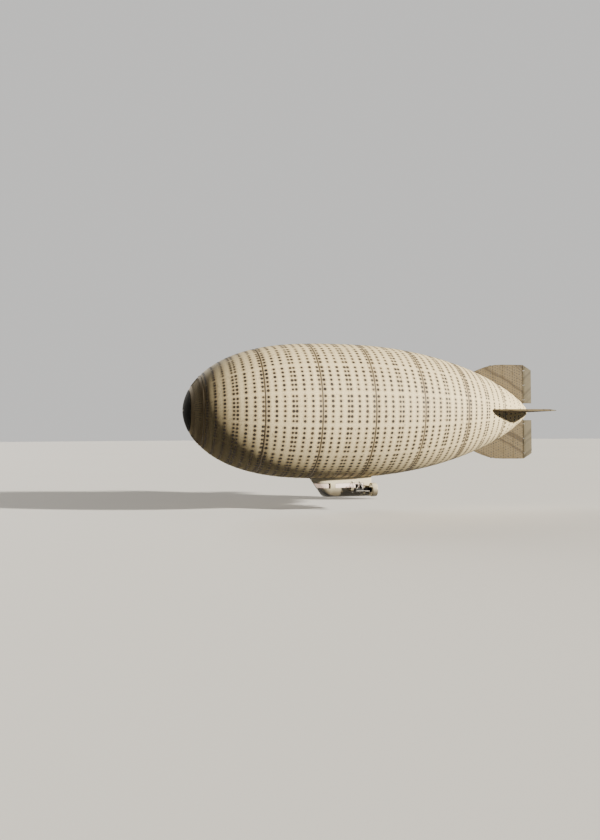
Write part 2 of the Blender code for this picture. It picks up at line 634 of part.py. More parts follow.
def build():
    for old in list(bpy.data.objects):
        bpy.data.objects.remove(old)

    fabric = material("envelope_fabric", (0.72, 0.65, 0.50), 0.7)
    tail_skin = material("tail_skin", (0.55, 0.47, 0.34), 0.7)
    flap_skin = material("flap_skin", (0.50, 0.47, 0.38), 0.6)
    black = material("black_shell", (0.015, 0.013, 0.012), 0.35)
    cream = material("cream_paint", (0.74, 0.68, 0.52), 0.2)
    glass = material("window_glass", (0.75, 0.68, 0.62), 0.05, alpha=0.4)
    iron = material("engine_black", (0.02, 0.02, 0.02), 0.45, 0.3)
    chrome = material("chrome", (0.8, 0.8, 0.78), 0.1, 1.0)
    steel = material("steel", (0.35, 0.34, 0.32), 0.35, 1.0)
    seat_fabric = material("seat_fabric", (0.20, 0.13, 0.09), 0.8)

    make_envelope(fabric)
    make_nose_cap(black)
    hull_cutter = make_hull_cutter()
    tail = {"upper": 0.0, "port": -math.pi / 2, "lower": math.pi, "starboard": math.pi / 2}
    for place, turn in tail.items():
        make_fin(f"fin_{place}", turn, tail_skin, hull_cutter)
        flap = "rudder" if place in ("upper", "lower") else "elevator"
        make_flap(f"{flap}_{place}", turn, flap_skin)
        make_pin(f"hinge_pin_{place}", turn, steel)

    make_saddle(cream, hull_cutter)
    make_tub(cream)
    make_bow_frame(cream)
    levels = (WINDOW_FOOT, WINDOW_TOP)
    doorway = (DOORWAY, (WALL_FOOT - 0.1, DOOR_TOP + DOOR_EDGE_GAP))
    make_side_wall("side_port", 1, [(PORT_WINDOW, levels)], cream)
    make_side_wall("side_starboard", -1, [(STARBOARD_WINDOW, levels), doorway], cream)
    make_transom(cream)
    make_windshield("windshield_port", 1, glass)
    make_windshield("windshield_starboard", -1, glass)
    make_side_window("window_port", 1, PORT_WINDOW, glass)
    make_side_window("window_starboard", -1, STARBOARD_WINDOW, glass)
    make_door(cream)
    make_side_window("window_door", -1, DOOR_WINDOW, glass)
    for name, height in DOOR_HINGE_HEIGHTS.items():
        make_door_hinge(f"door_hinge_{name}", height, steel)
    make_seat("seat_port", 15.15, 0.20, 0.70, seat_fabric)
    make_seat("seat_starboard", 15.15, -0.70, -0.20, seat_fabric)
    make_seat("bench_rear", 18.40, -0.68, 0.68, seat_fabric)
    make_console(black)

    for place, side in (("port", 1), ("starboard", -1)):
        make_engine(f"engine_{place}", side, iron)
        make_intake(f"intake_{place}", side, chrome)
        make_exhaust(f"exhaust_{place}", side, chrome)
        make_outrigger(f"outrigger_{place}", side, steel)
        make_nacelle(f"nacelle_{place}", side, black)
        make_duct(f"duct_{place}", side, cream)
        make_propeller(f"propeller_{place}", side, iron)


build()
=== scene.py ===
# %% [markdown]
# # A small airship
# This notebook dresses the packed model of a small non-rigid airship. The frame comes first: every
# piece made below rides on one of its bodies, so a rudder that turns takes its fabric with it.

# %% Load the frame
import json
import math

import bmesh
import bpy
from mathutils import Matrix, Vector

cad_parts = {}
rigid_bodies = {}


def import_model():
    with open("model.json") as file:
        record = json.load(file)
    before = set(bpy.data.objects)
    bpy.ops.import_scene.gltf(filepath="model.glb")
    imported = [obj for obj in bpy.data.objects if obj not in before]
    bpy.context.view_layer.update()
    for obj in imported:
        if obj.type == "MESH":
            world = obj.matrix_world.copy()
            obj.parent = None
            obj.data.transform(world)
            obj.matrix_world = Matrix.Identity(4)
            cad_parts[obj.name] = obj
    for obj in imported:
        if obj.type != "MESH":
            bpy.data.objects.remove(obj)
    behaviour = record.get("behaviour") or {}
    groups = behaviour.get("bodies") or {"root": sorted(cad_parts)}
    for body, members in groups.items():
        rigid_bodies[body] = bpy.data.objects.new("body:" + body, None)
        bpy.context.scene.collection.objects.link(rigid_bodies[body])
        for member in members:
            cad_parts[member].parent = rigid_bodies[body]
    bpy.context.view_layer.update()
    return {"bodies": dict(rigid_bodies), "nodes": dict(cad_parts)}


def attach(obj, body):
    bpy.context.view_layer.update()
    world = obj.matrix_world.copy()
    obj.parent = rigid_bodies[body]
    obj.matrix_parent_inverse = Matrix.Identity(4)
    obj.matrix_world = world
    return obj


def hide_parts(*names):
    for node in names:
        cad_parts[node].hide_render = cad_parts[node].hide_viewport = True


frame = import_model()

# %% [markdown]
# ## The ship's lines
# Airship builders measure along the hull from the nose, so a station is a distance aft of the nose
# tip. The hull is a body of revolution whose radius follows one short formula: a blunt power curve
# from the nose to the widest station, and a finer one from there to the tail.

# %% Sizes of the hull and where things stand
HULL_LENGTH = 38.8
HULL_RADIUS = 7.0
WIDEST_STATION = 16.3
BUOYANCY_STATION = 17.27
NOSE_POWER, NOSE_ROOT = 2.95, 0.532
TAIL_POWER, TAIL_ROOT = 2.1, 0.782
CAP_RIM_STATION = 0.55
TAIL_DISC_STATION = 38.75

FIRST_SEAM = 1.66
PANEL_LENGTH = 5.386
SEAMS = 7


def at(station):
    """X of a station, be it a number or a term in a node tree."""
    return BUOYANCY_STATION - station


def hull_radius(station):
    """Radius of the envelope at a station."""
    fore = max((WIDEST_STATION - station) / WIDEST_STATION, 0)
    aft = max((station - WIDEST_STATION) / (HULL_LENGTH - WIDEST_STATION), 0)
    return HULL_RADIUS * (1 - fore ** NOSE_POWER) ** NOSE_ROOT * (1 - aft ** TAIL_POWER) ** TAIL_ROOT


seam_stations = [FIRST_SEAM + PANEL_LENGTH * k for k in range(SEAMS)]
print("seams at", [round(s, 2) for s in seam_stations])
print("radius there", [round(hull_radius(s), 2) for s in seam_stations])

# %% [markdown]
# ## The camera
# The camera stands off the port bow, a little below the ship's axis, and looks slightly up. Its
# place and lens come from matching the outline of the hull, so they are numbers and not a guess by eye.

# %% Put the camera off the port bow
FOCAL_PIXELS = 725.6
LONG_SIDE_PIXELS = 840
SENSOR_MM = 36.0
CAMERA_AHEAD_OF_NOSE = 8.15
CAMERA_OUT_TO_PORT = 72.32
CAMERA_HEIGHT = -2.36
LOOK = Vector((-0.26898, -0.96296, 0.019055)).normalized()
IMAGE_UP = Vector((-0.00043, 0.01990, 0.99980))


def stand(name, data):
    """Link a new object with this data to the scene."""
    thing = bpy.data.objects.new(name, data)
    bpy.context.scene.collection.objects.link(thing)
    return thing


def make_camera():
    lens = bpy.data.cameras.new("camera")
    lens.sensor_width = SENSOR_MM
    lens.lens = FOCAL_PIXELS / LONG_SIDE_PIXELS * SENSOR_MM
    lens.clip_start, lens.clip_end = 1.0, 3000.0
    camera = stand("camera", lens)
    right = LOOK.cross(IMAGE_UP).normalized()
    upright = right.cross(LOOK)
    turn = Matrix((right, upright, -LOOK)).transposed()
    place = Vector((at(-CAMERA_AHEAD_OF_NOSE), CAMERA_OUT_TO_PORT, CAMERA_HEIGHT))
    camera.matrix_world = Matrix.Translation(place) @ turn.to_4x4()
    bpy.context.scene.camera = camera
    return camera


camera = make_camera()
print("lens of", round(camera.data.lens, 1), "mm")

# %% [markdown]
# ## Sums on sockets
# Shader and geometry trees both do arithmetic with Math nodes, which are slow to wire by hand. The
# class below wraps a socket and answers to +, -, * and the rest, so that a formula is typed once and
# builds its own nodes. A Graph wraps a tree and adds any other node with one method.

# %% Write node trees as Python expressions
class Term:
    """A number that lives on a socket."""

    def __init__(self, graph, socket):
        self.graph = graph
        self.socket = socket

    def __add__(self, other):
        return self.graph.calc("ADD", self, other)

    __radd__ = __add__

    def __sub__(self, other):
        return self.graph.calc("SUBTRACT", self, other)

    def __rsub__(self, other):
        return self.graph.calc("SUBTRACT", other, self)

    def __mul__(self, other):
        return self.graph.calc("MULTIPLY", self, other)

    __rmul__ = __mul__

    def __truediv__(self, other):
        return self.graph.calc("DIVIDE", self, other)

    def __rtruediv__(self, other):
        return self.graph.calc("DIVIDE", other, self)

    def __pow__(self, other):
        return self.graph.calc("POWER", self, other)

    def __abs__(self):
        return self.graph.calc("ABSOLUTE", self)

    def below(self, edge, soft):
        """1 well under the edge, 0 over it, with a smooth step of width soft between."""
        return self.graph.step(self, edge, edge - soft)

    def above(self, edge, soft):
        return self.graph.step(self, edge, edge + soft)


class Graph:
    """A node tree and the ways of adding to it."""

    def __init__(self, tree):
        self.tree = tree

    def add(self, kind, settings=None, sockets=None):
        """Add a node: settings first, then the value or link of each named or numbered socket.

        A node given as a value stands for its first output."""
        node = self.tree.nodes.new(kind)
        for name, value in (settings or {}).items():
            setattr(node, name, value)
        for key, value in (sockets or {}).items():
            self.feed(node.inputs[key], value)
        return node

    def feed(self, socket, value):
        if isinstance(value, Term):
            self.tree.links.new(value.socket, socket)
        elif isinstance(value, bpy.types.NodeSocket):
            self.tree.links.new(value, socket)
        elif isinstance(value, bpy.types.Node):
            self.tree.links.new(value.outputs[0], socket)
        elif isinstance(value, tuple) and len(value) == 3 and socket.type == "RGBA":
            socket.default_value = (*value, 1.0)
        else:
            socket.default_value = value

    def calc(self, operation, *values):
        sockets = dict(enumerate(values))
        return Term(self, self.add("ShaderNodeMath", {"operation": operation}, sockets).outputs[0])

    def step(self, value, low, high):
        node = self.add("ShaderNodeMapRange", {"interpolation_type": "SMOOTHSTEP"},
                        {"Value": value, "From Min": low, "From Max": high})
        return Term(self, node.outputs["Result"])

    def split(self, vector):
        node = self.add("ShaderNodeSeparateXYZ", None, {0: vector})
        return [Term(self, node.outputs[k]) for k in range(3)]

    def vector(self, x, y, z):
        return self.add("ShaderNodeCombineXYZ", None, {0: x, 1: y, 2: z}).outputs[0]

    def mix(self, factor, first, second):
        """Blend two colours."""
        return self.add("ShaderNodeMix", {"data_type": "RGBA"}, {0: factor, 6: first, 7: second}).outputs[2]


class Finish(Graph):
    """A material with one Principled shader."""

    def __init__(self, name, **constants):
        self.material = bpy.data.materials.new(name)
        self.material.use_nodes = True
        super().__init__(self.material.node_tree)
        self.shader = self.tree.nodes["Principled BSDF"]
        self.set(**constants)
        self.position = self.add("ShaderNodeTexCoord").outputs["Object"]

    def noise(self, scale, detail=3.0, roughness=0.55, vector=None):
        """Noise with its scale in grains to the metre, laid on Object coordinates unless told otherwise."""
        place = self.position if vector is None else vector
        sockets = {"Vector": place, "Scale": scale, "Detail": detail, "Roughness": roughness}
        return Term(self, self.add("ShaderNodeTexNoise", None, sockets).outputs[0])

    def set(self, **values):
        """Feed the shader's sockets, with an underscore for each space in their names."""
        for key, value in values.items():
            self.feed(self.shader.inputs[key.replace("_", " ")], value)

    def bump(self, height, distance, strength=1.0):
        sockets = {"Height": height, "Distance": distance, "Strength": strength}
        node = self.add("ShaderNodeBump", None, sockets)
        self.feed(self.shader.inputs["Normal"], node.outputs["Normal"])


print("a Term answers to", [name.strip("_") for name in vars(Term) if name.endswith("__")])

# %% [markdown]
# ## Growing geometry
# What repeats over the ship, such as its patches, seams and battens, is grown by Geometry Nodes. Each
# tree has named sizes as inputs. The helper sets them, evaluates the tree once, keeps the plain mesh
# and throws the modifier away, because everything that rides on a body has to be a plain mesh.

# %% Grow a tree into a plain mesh
def new_tree(name, sizes):
    """A geometry tree with a float input for each size; returns its graph and the inputs as terms."""
    tree = bpy.data.node_groups.new(name, "GeometryNodeTree")
    tree.interface.new_socket("Geometry", in_out="INPUT", socket_type="NodeSocketGeometry")
    tree.interface.new_socket("Geometry", in_out="OUTPUT", socket_type="NodeSocketGeometry")
    for size in sizes:
        tree.interface.new_socket(size, in_out="INPUT", socket_type="NodeSocketFloat")
    graph = Graph(tree)
    entry = graph.add("NodeGroupInput")
    graph.entry = entry.outputs["Geometry"]
    return graph, {size: Term(graph, entry.outputs[size]) for size in sizes}


def close_tree(graph, geometry, material):
    """Realize what was placed, paint it and send it out."""
    real = graph.add("GeometryNodeRealizeInstances", None, {"Geometry": geometry})
    painted = graph.add("GeometryNodeSetMaterial", None, {"Geometry": real, "Material": material})
    graph.add("NodeGroupOutput", None, {0: painted})


def worked_out(piece):
    """A plain mesh of a piece as its modifiers leave it."""
    bpy.context.view_layer.update()
    ready = piece.evaluated_get(bpy.context.evaluated_depsgraph_get())
    return bpy.data.meshes.new_from_object(ready)


def grow(name, graph, sizes, start=None):
    """Evaluate a tree with these sizes into a plain mesh object."""
    seed = start or bpy.data.meshes.new(name + "_seed")
    holder = stand(name + "_holder", seed)
    modifier = holder.modifiers.new("grow", "NODES")
    modifier.node_group = graph.tree
    for item in graph.tree.interface.items_tree:
        if item.in_out == "INPUT" and item.name in sizes:
            modifier[item.identifier] = sizes[item.name]
    mesh = worked_out(holder)
    holder.modifiers.remove(modifier)
    bpy.data.objects.remove(holder)
    return stand(name, mesh)


def settle(piece, body, replaced=(), smooth_angle=35):
    """Shade a finished piece, hide the model's parts it replaces, and let it ride on its body."""
    piece.data.shade_smooth()
    piece.data.set_sharp_from_angle(angle=math.radians(smooth_angle))
    if replaced:
        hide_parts(*replaced)
    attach(piece, body)
    triangles = sum(len(face.vertices) - 2 for face in piece.data.polygons)
    print(piece.name, triangles, "triangles on", body)
    return piece


def radius_term(graph, station):
    """The hull's radius as nodes, from a station that is itself a term."""
    fore = graph.calc("MAXIMUM", (WIDEST_STATION - station) / WIDEST_STATION, 0.0)
    aft = graph.calc("MAXIMUM", (station - WIDEST_STATION) / (HULL_LENGTH - WIDEST_STATION), 0.0)
    front_part = graph.calc("MAXIMUM", 1.0 - fore ** NOSE_POWER, 0.0) ** NOSE_ROOT
    rear_part = graph.calc("MAXIMUM", 1.0 - aft ** TAIL_POWER, 0.0) ** TAIL_ROOT
    return front_part * rear_part * HULL_RADIUS


def index_term(graph):
    return Term(graph, graph.add("GeometryNodeInputIndex").outputs[0])


print("hull formula in nodes, with powers", NOSE_POWER, "fore and", TAIL_POWER, "aft")

# %% [markdown]
# ## Building by hand
# Frames, pods and fittings are made of a few kinds of shape: rings joined into a skin, a profile
# turned about a line, a bar along a path, a block with eased edges. A Form gathers such shapes in one
# mesh, gives each its finish, and closes them with their faces pointing out.

# %% A mesh in the making
EASE_PROFILE = 0.6
WELD_DISTANCE = 1e-5


def arc(radius, sides, start=0.0):
    """Points of a circle as (across, up) pairs."""
    turns = [start + 2 * math.pi * k / sides for k in range(sides)]
    return [(radius * math.cos(turn), radius * math.sin(turn)) for turn in turns]


def eased(points, steps=4, closed=False):
    """A smooth line through the given points, with so many steps from each to the next."""
    points = [Vector(p) for p in points]
    row = points[-1:] + points + points[:2] if closed else points[:1] + points + points[-1:]
    line = []
    for i in range(len(row) - 3):
        a, b, c, d = row[i:i + 4]
        for k in range(steps):
            t = k / steps
            line.append(0.5 * (2 * b + (c - a) * t + (2 * a - 5 * b + 4 * c - d) * t * t
                               + (3 * b - a - 3 * c + d) * t ** 3))
    return line if closed else line + [points[-1]]


def as_mesh(name, shape):
    """Turn a bmesh into a mesh and free it."""
    mesh = bpy.data.meshes.new(name)
    shape.to_mesh(mesh)
    shape.free()
    return mesh


class Form:
    """Shapes gathered in one mesh, each in the current finish.

    Points are (station, y, z), and a side of -1 mirrors what is built to starboard."""

    def __init__(self, *finishes, side=1):
        self.mesh = bmesh.new()
        self.finishes = finishes
        self.finish = 0
        self.side = side

    def skin(self, rings, hoop=False):
        """Join rings of points, which all have the same count, into a closed skin."""
        rows = [[self.mesh.verts.new((at(s), self.side * y, z)) for s, y, z in ring] for ring in rings]
        count = len(rows[0])
        faces = []
        pairs = list(zip(rows, rows[1:]))
        if hoop:
            pairs.append((rows[-1], rows[0]))
        else:
            faces += [self.mesh.faces.new(rows[0]), self.mesh.faces.new(rows[-1])]
        for low, high in pairs:
            for k in range(count):
                n = (k + 1) % count
                faces.append(self.mesh.faces.new((low[k], low[n], high[n], high[k])))
        return self.keep(faces)

    def keep(self, faces):
        for face in faces:
            face.material_index = self.finish
        bmesh.ops.recalc_face_normals(self.mesh, faces=faces)
        return faces

    def turned(self, profile, sides, center=(0, 0), hoop=False):
        """Turn (station, radius) rows about a fore-and-aft line through center."""
        rings = []
        for station, radius in profile:
            rings.append([(station, center[0] + y, center[1] + z) for y, z in arc(radius, sides)])
        return self.skin(rings, hoop)

    def spun(self, base, axis, profile, sides):
        """Turn (rise, radius) rows about any axis that starts at base."""
        base, axis = Vector(base), Vector(axis).normalized()
        across = axis.orthogonal().normalized()
        other = axis.cross(across)
        rings = []
        for rise, radius in profile:
            rings.append([base + axis * rise + across * a + other * b for a, b in arc(radius, sides)])
        return self.skin(rings)

    def bolt(self, base, axis, radius, rise):
        """A six-sided head, its top edge chamfered."""
        return self.spun(base, axis, [(0, radius), (rise, radius), (rise + 0.003, radius - 0.005)], 6)

    def rivet(self, base, axis, sides=6):
        return self.spun(base, axis, [(0, 0.007), (0.003, 0.006), (0.004, 0.003)], sides)

    def rod(self, path, radius, sides=12, closed=False):
        """A round bar along a path; the radius may be one number or one for each point."""
        path = [Vector(p) for p in path]
        count = len(path)
        radii = radius if isinstance(radius, list) else [radius] * count
        across = (path[1] - path[0]).orthogonal().normalized()
        rings = []
        for i, point in enumerate(path):
            if closed:
                ahead = path[(i + 1) % count] - path[i - 1]
            else:
                ahead = path[min(i + 1, count - 1)] - path[max(i - 1, 0)]
            ahead.normalize()
            across = (across - ahead * across.dot(ahead)).normalized()
            other = ahead.cross(across)
            rings.append([point + across * a + other * b for a, b in arc(radii[i], sides)])
        return self.skin(rings, hoop=closed)

    def block(self, low, high, ease=0.0, steps=2):
        """A box between two corners, its edges eased."""
        (s0, y0, z0), (s1, y1, z1) = low, high
        foot = [(s0, y0, z0), (s1, y0, z0), (s1, y1, z0), (s0, y1, z0)]
        faces = self.skin([foot, [(s, y, z1) for s, y, _ in foot]])
        return self.ease(faces, ease, steps)

    def slab(self, outline, y0, y1, ease=0.0, steps=2):
        """An outline of (station, z) points carried across from y0 to y1."""
        faces = self.skin([[(s, y, z) for s, z in outline] for y in (y0, y1)])
        return self.ease(faces, ease, steps)

    def ease(self, faces, ease, steps=2, angle=30):
        """Round the sharp edges of some faces."""
        if not ease:
            return faces
        edges = {e for f in faces for e in f.edges if e.calc_face_angle(0) > math.radians(angle)}
        bmesh.ops.bevel(self.mesh, geom=list(edges), offset=ease, segments=steps, profile=EASE_PROFILE,
                        affect="EDGES", clamp_overlap=True, material=-1)
        return faces

    def object(self, name):
        """Close the form and hand it over as an object."""
        bmesh.ops.remove_doubles(self.mesh, verts=self.mesh.verts, dist=WELD_DISTANCE)
        mesh = as_mesh(name, self.mesh)
        for finish in self.finishes:
            mesh.materials.append(finish)
        return stand(name, mesh)


def carve(piece, *cutters):
    """Cut each cutter out of a piece for good."""
    for cutter in cutters:
        step = piece.modifiers.new("carve", "BOOLEAN")
        step.operation, step.solver, step.object = "DIFFERENCE", "EXACT", cutter
    carved = worked_out(piece)
    piece.modifiers.clear()
    piece.data = carved
    for cutter in cutters:
        bpy.data.objects.remove(cutter)
    return piece


print("a Form can", [name for name in vars(Form) if not name.startswith("_")])

# %% [markdown]
# ## Where the patches sit
# The envelope carries eight rings of round patches in each panel, 84 patches to a ring, in groups of
# six with a wider space between groups. The same few numbers place the patches themselves and the
# stains that surround them in the fabric's colour, so both are worked out here.

# %% Patch rows and groups
RING_OFFSETS = [0.045, 0.18, 0.325, 0.47, 0.53, 0.675, 0.82, 0.955]
PATCH_GROUPS = 14
PATCHES_IN_GROUP = 6
PATCH_PITCH = 0.156
PATCH_START = 0.11
PATCH_RADIUS = 0.155
LAST_RING_STATION = 38.2
SPARSE_FROM = 34.1

ring_stations = []
for panel in range(SEAMS):
    ring_stations += [FIRST_SEAM + PANEL_LENGTH * (panel + offset) for offset in RING_OFFSETS]
ring_stations = [station for station in ring_stations if station < LAST_RING_STATION]
print(len(ring_stations), "rings of", PATCH_GROUPS * PATCHES_IN_GROUP, "patches")

# %% [markdown]
# ## Envelope fabric
# The real skin is a coated cloth that has aged: cream where it is clean, tan along the ring seams and
# round each patch where dirt gathers, with brown runs and a fine speckle. All of it is worked out from
# the point's station and its angle round the hull, so the stains fall where the patches are.

# %% Paint the fabric
CREAM = (0.90, 0.745, 0.445)
TAN = (0.37, 0.275, 0.16)
BROWN = (0.16, 0.11, 0.06)
CLEAN_TAIL_FROM = 34.5
PATCH_STAIN_REACH = 0.36
RING_STAIN_REACH = 0.30
SEAM_STAIN_REACH = 0.45
FOLDED_OFFSETS = sorted({round(abs(offset - 0.5), 3) for offset in RING_OFFSETS})


def angle_terms(paint, y, z):
    """The turn round the hull in groups of patches, and the place within the group."""
    turn = paint.calc("ARCTAN2", y, z) / (2 * math.pi)
    in_group = paint.calc("FRACT", (turn + 1.0) * PATCH_GROUPS)
    return turn, in_group


def distance_to_patch(paint, station, in_group, radius):
    """Metres to the nearest patch, along the hull and round it, and to the nearest seam.

    A panel's rings lie evenly about its middle, so the panel is folded there to halve the sums."""
    panel_place = paint.calc("FRACT", (station - FIRST_SEAM) / PANEL_LENGTH + 1.0)
    folded = abs(panel_place - 0.5)
    nearest = abs(folded - FOLDED_OFFSETS[0])
    for offset in FOLDED_OFFSETS[1:]:
        nearest = paint.calc("MINIMUM", nearest, abs(folded - offset))
    along = nearest * PANEL_LENGTH
    slot_number = paint.calc("ROUND", (in_group - PATCH_START) / PATCH_PITCH)
    slot_number = paint.calc("MINIMUM", paint.calc("MAXIMUM", slot_number, 0.0), PATCHES_IN_GROUP - 1.0)
    off_slot = abs(in_group - (slot_number * PATCH_PITCH + PATCH_START))
    around = off_slot * radius * (2 * math.pi / PATCH_GROUPS)
    seam = paint.calc("MINIMUM", panel_place, 1.0 - panel_place) * PANEL_LENGTH
    return along, around, seam


def make_envelope_fabric():
    paint = Finish("envelope_fabric", Specular_IOR_Level=0.18)
    x, y, z = paint.split(paint.position)
    station = BUOYANCY_STATION - x
    radius = paint.calc("SQRT", y * y + z * z)
    turn, in_group = angle_terms(paint, y, z)
    along, around, seam = distance_to_patch(paint, station, in_group, radius)

    laid_flat = paint.vector(station, turn * radius * (2 * math.pi), 0.37)
    cloud = paint.noise(0.35, 4.0, 0.55, laid_flat)
    blotch = paint.noise(1.3, 5.0, 0.65, laid_flat)
    speckle = paint.noise(3.4, 4.0, 0.75, laid_flat)
    grain = paint.noise(11.0, 1.0, 0.5, laid_flat)
    runs = paint.noise(1.0, 3.0, 0.6, paint.vector(station * 2.6, turn * 3.0, 0.0))

    off_patch = paint.calc("SQRT", along * along + around * around)
    fore_of_tail = station.below(CLEAN_TAIL_FROM, 6.0)
    halo = off_patch.below(PATCH_STAIN_REACH, 0.30) * (0.35 + 1.3 * blotch) * fore_of_tail
    along_ring = along.below(RING_STAIN_REACH, 0.28) * 0.06 * fore_of_tail
    along_seam = seam.below(SEAM_STAIN_REACH, 0.40) * (0.20 + 0.8 * blotch) * (0.15 + 0.85 * fore_of_tail)
    dirt = paint.calc("MINIMUM", halo * 0.62 + along_ring + along_seam * 0.40, 1.0)

    base = paint.mix(cloud.above(0.35, 0.45) * 0.12, CREAM, TAN)
    base = paint.mix(runs.above(0.50, 0.35) * 0.08, base, TAN)
    base = paint.mix(dirt, base, TAN)
    base = paint.mix(speckle.above(0.56, 0.14) * 0.55, base, BROWN)
    base = paint.mix(grain.above(0.54, 0.10) * 0.35, base, BROWN)
    paint.set(Base_Color=base, Roughness=0.55 + 0.2 * blotch)
    weave = paint.noise(30.0, 1.0)
    paint.bump(cloud * 0.15 + weave * 0.02 + speckle * 0.03, 0.03, 0.6)
    return paint.material


def make_dark_patch():
    paint = Finish("dark_patch", Roughness=0.7)
    worn = paint.noise(1.1, 6.0, 0.6)
    tint = paint.mix(worn.above(0.40, 0.30), (0.018, 0.012, 0.007), (0.050, 0.034, 0.019))
    paint.set(Base_Color=tint)
    paint.bump(worn, 0.004)
    return paint.material


envelope_fabric = make_envelope_fabric()
dark_patch = make_dark_patch()
print("fabric nodes:", len(envelope_fabric.node_tree.nodes))

# %% [markdown]
# ## The envelope
# Its shape follows a rule, so Geometry Nodes make it: an open cylinder whose side is moved out to the
# radius of its station. Gas pressure swells the cloth between the ring seams, so the radius is pinched
# in a little at each seam. Rows of points lie closer together towards both ends, where it curves most.

# %% Turn the envelope
SEAM_PINCH = 0.03
SEAM_PINCH_WIDTH = 0.45
HULL_COLUMNS = 144
HULL_ROWS = 190
TUCK_UNDER_CAP = 0.1


def skin_radius(graph, station, pinch):
    """The hull's radius, pinched in by up to this much at a seam."""
    place = graph.calc("FRACT", (station - FIRST_SEAM) / PANEL_LENGTH + 1.0)
    to_seam = graph.calc("MINIMUM", place, 1.0 - place) * PANEL_LENGTH
    return radius_term(graph, station) - to_seam.below(SEAM_PINCH_WIDTH, SEAM_PINCH_WIDTH) * pinch


def make_envelope():
    graph, size = new_tree("envelope_skin", ["Front", "Rear", "Pinch"])
    barrel = graph.add("GeometryNodeMeshCylinder", {"fill_type": "NGON"},
                       {"Vertices": HULL_COLUMNS, "Side Segments": HULL_ROWS, "Radius": 1.0, "Depth": 1.0})
    place = graph.add("GeometryNodeInputPosition")
    x, y, z = graph.split(place)
    spread = 0.5 - graph.calc("COSINE", (0.5 - z) * math.pi) * 0.5
    station = size["Front"] + (size["Rear"] - size["Front"]) * spread
    radius = skin_radius(graph, station, size["Pinch"])
    moved = graph.vector(at(station), y * radius, x * radius)
    skin = graph.add("GeometryNodeSetPosition", None, {"Geometry": barrel.outputs["Mesh"], "Position": moved})
    close_tree(graph, skin, envelope_fabric)
    sizes = {"Front": CAP_RIM_STATION - TUCK_UNDER_CAP, "Rear": TAIL_DISC_STATION, "Pinch": SEAM_PINCH}
    piece = grow("envelope_skin", graph, sizes)
    faced = bmesh.new()
    faced.from_mesh(piece.data)
    bmesh.ops.recalc_face_normals(faced, faces=faced.faces)
    faced.to_mesh(piece.data)
    faced.free()
    return settle(piece, "hull", ["envelope"])


make_envelope()

# %% [markdown]
# ## Round patches
# Each patch is a thin disc of cloth glued over a fixing. A single line of points stands for all of
# them: a point's number gives its ring and its slot in the ring, and the hull's formula gives its
# place. The disc's rim goes down into the skin, so that no gap shows where the hull curves away under
# it. Where the hull narrows the patches shrink with it, and near the tail every second one is left out.

# %% Stick the patches on
PATCH_SIDES = 14
PATCH_PROFILE = [(1.0, -2.0), (0.90, 1.0)]
PATCH_RISE = 0.007
PATCH_COUNT = PATCH_GROUPS * PATCHES_IN_GROUP
PATCH_SPREAD = (0.78, 1.10)
PATCH_SEED = 11
NARROWING_POWER = 0.33
NARROWEST = 0.45
SLOPE_STEP = 0.01


def patch_disc():
    """A disc of radius 1 with a sloping rim that ends below the XY plane."""
    shape = bmesh.new()
    rings = []
    for reach, rise in PATCH_PROFILE:
        spin = [2 * math.pi * k / PATCH_SIDES for k in range(PATCH_SIDES)]
        rings.append([shape.verts.new((reach * math.cos(a), reach * math.sin(a), rise)) for a in spin])
    for low, high in zip(rings, rings[1:]):
        for k in range(PATCH_SIDES):
            n = (k + 1) % PATCH_SIDES
            shape.faces.new((low[k], low[n], high[n], high[k]))
    shape.faces.new(rings[-1])
    return stand("patch_disc", as_mesh("patch_disc", shape))


def ring_station_term(graph, ring):
    """Station of a numbered ring: eight to a panel, at the offsets in the table."""
    panel = graph.calc("FLOOR", ring / len(RING_OFFSETS))
    place = ring - panel * len(RING_OFFSETS)
    offset = RING_OFFSETS[0]
    for k in range(1, len(RING_OFFSETS)):
        passed = graph.calc("GREATER_THAN", place, k - 0.5)
        offset = offset + passed * (RING_OFFSETS[k] - RING_OFFSETS[k - 1])
    return FIRST_SEAM + (panel + offset) * PANEL_LENGTH


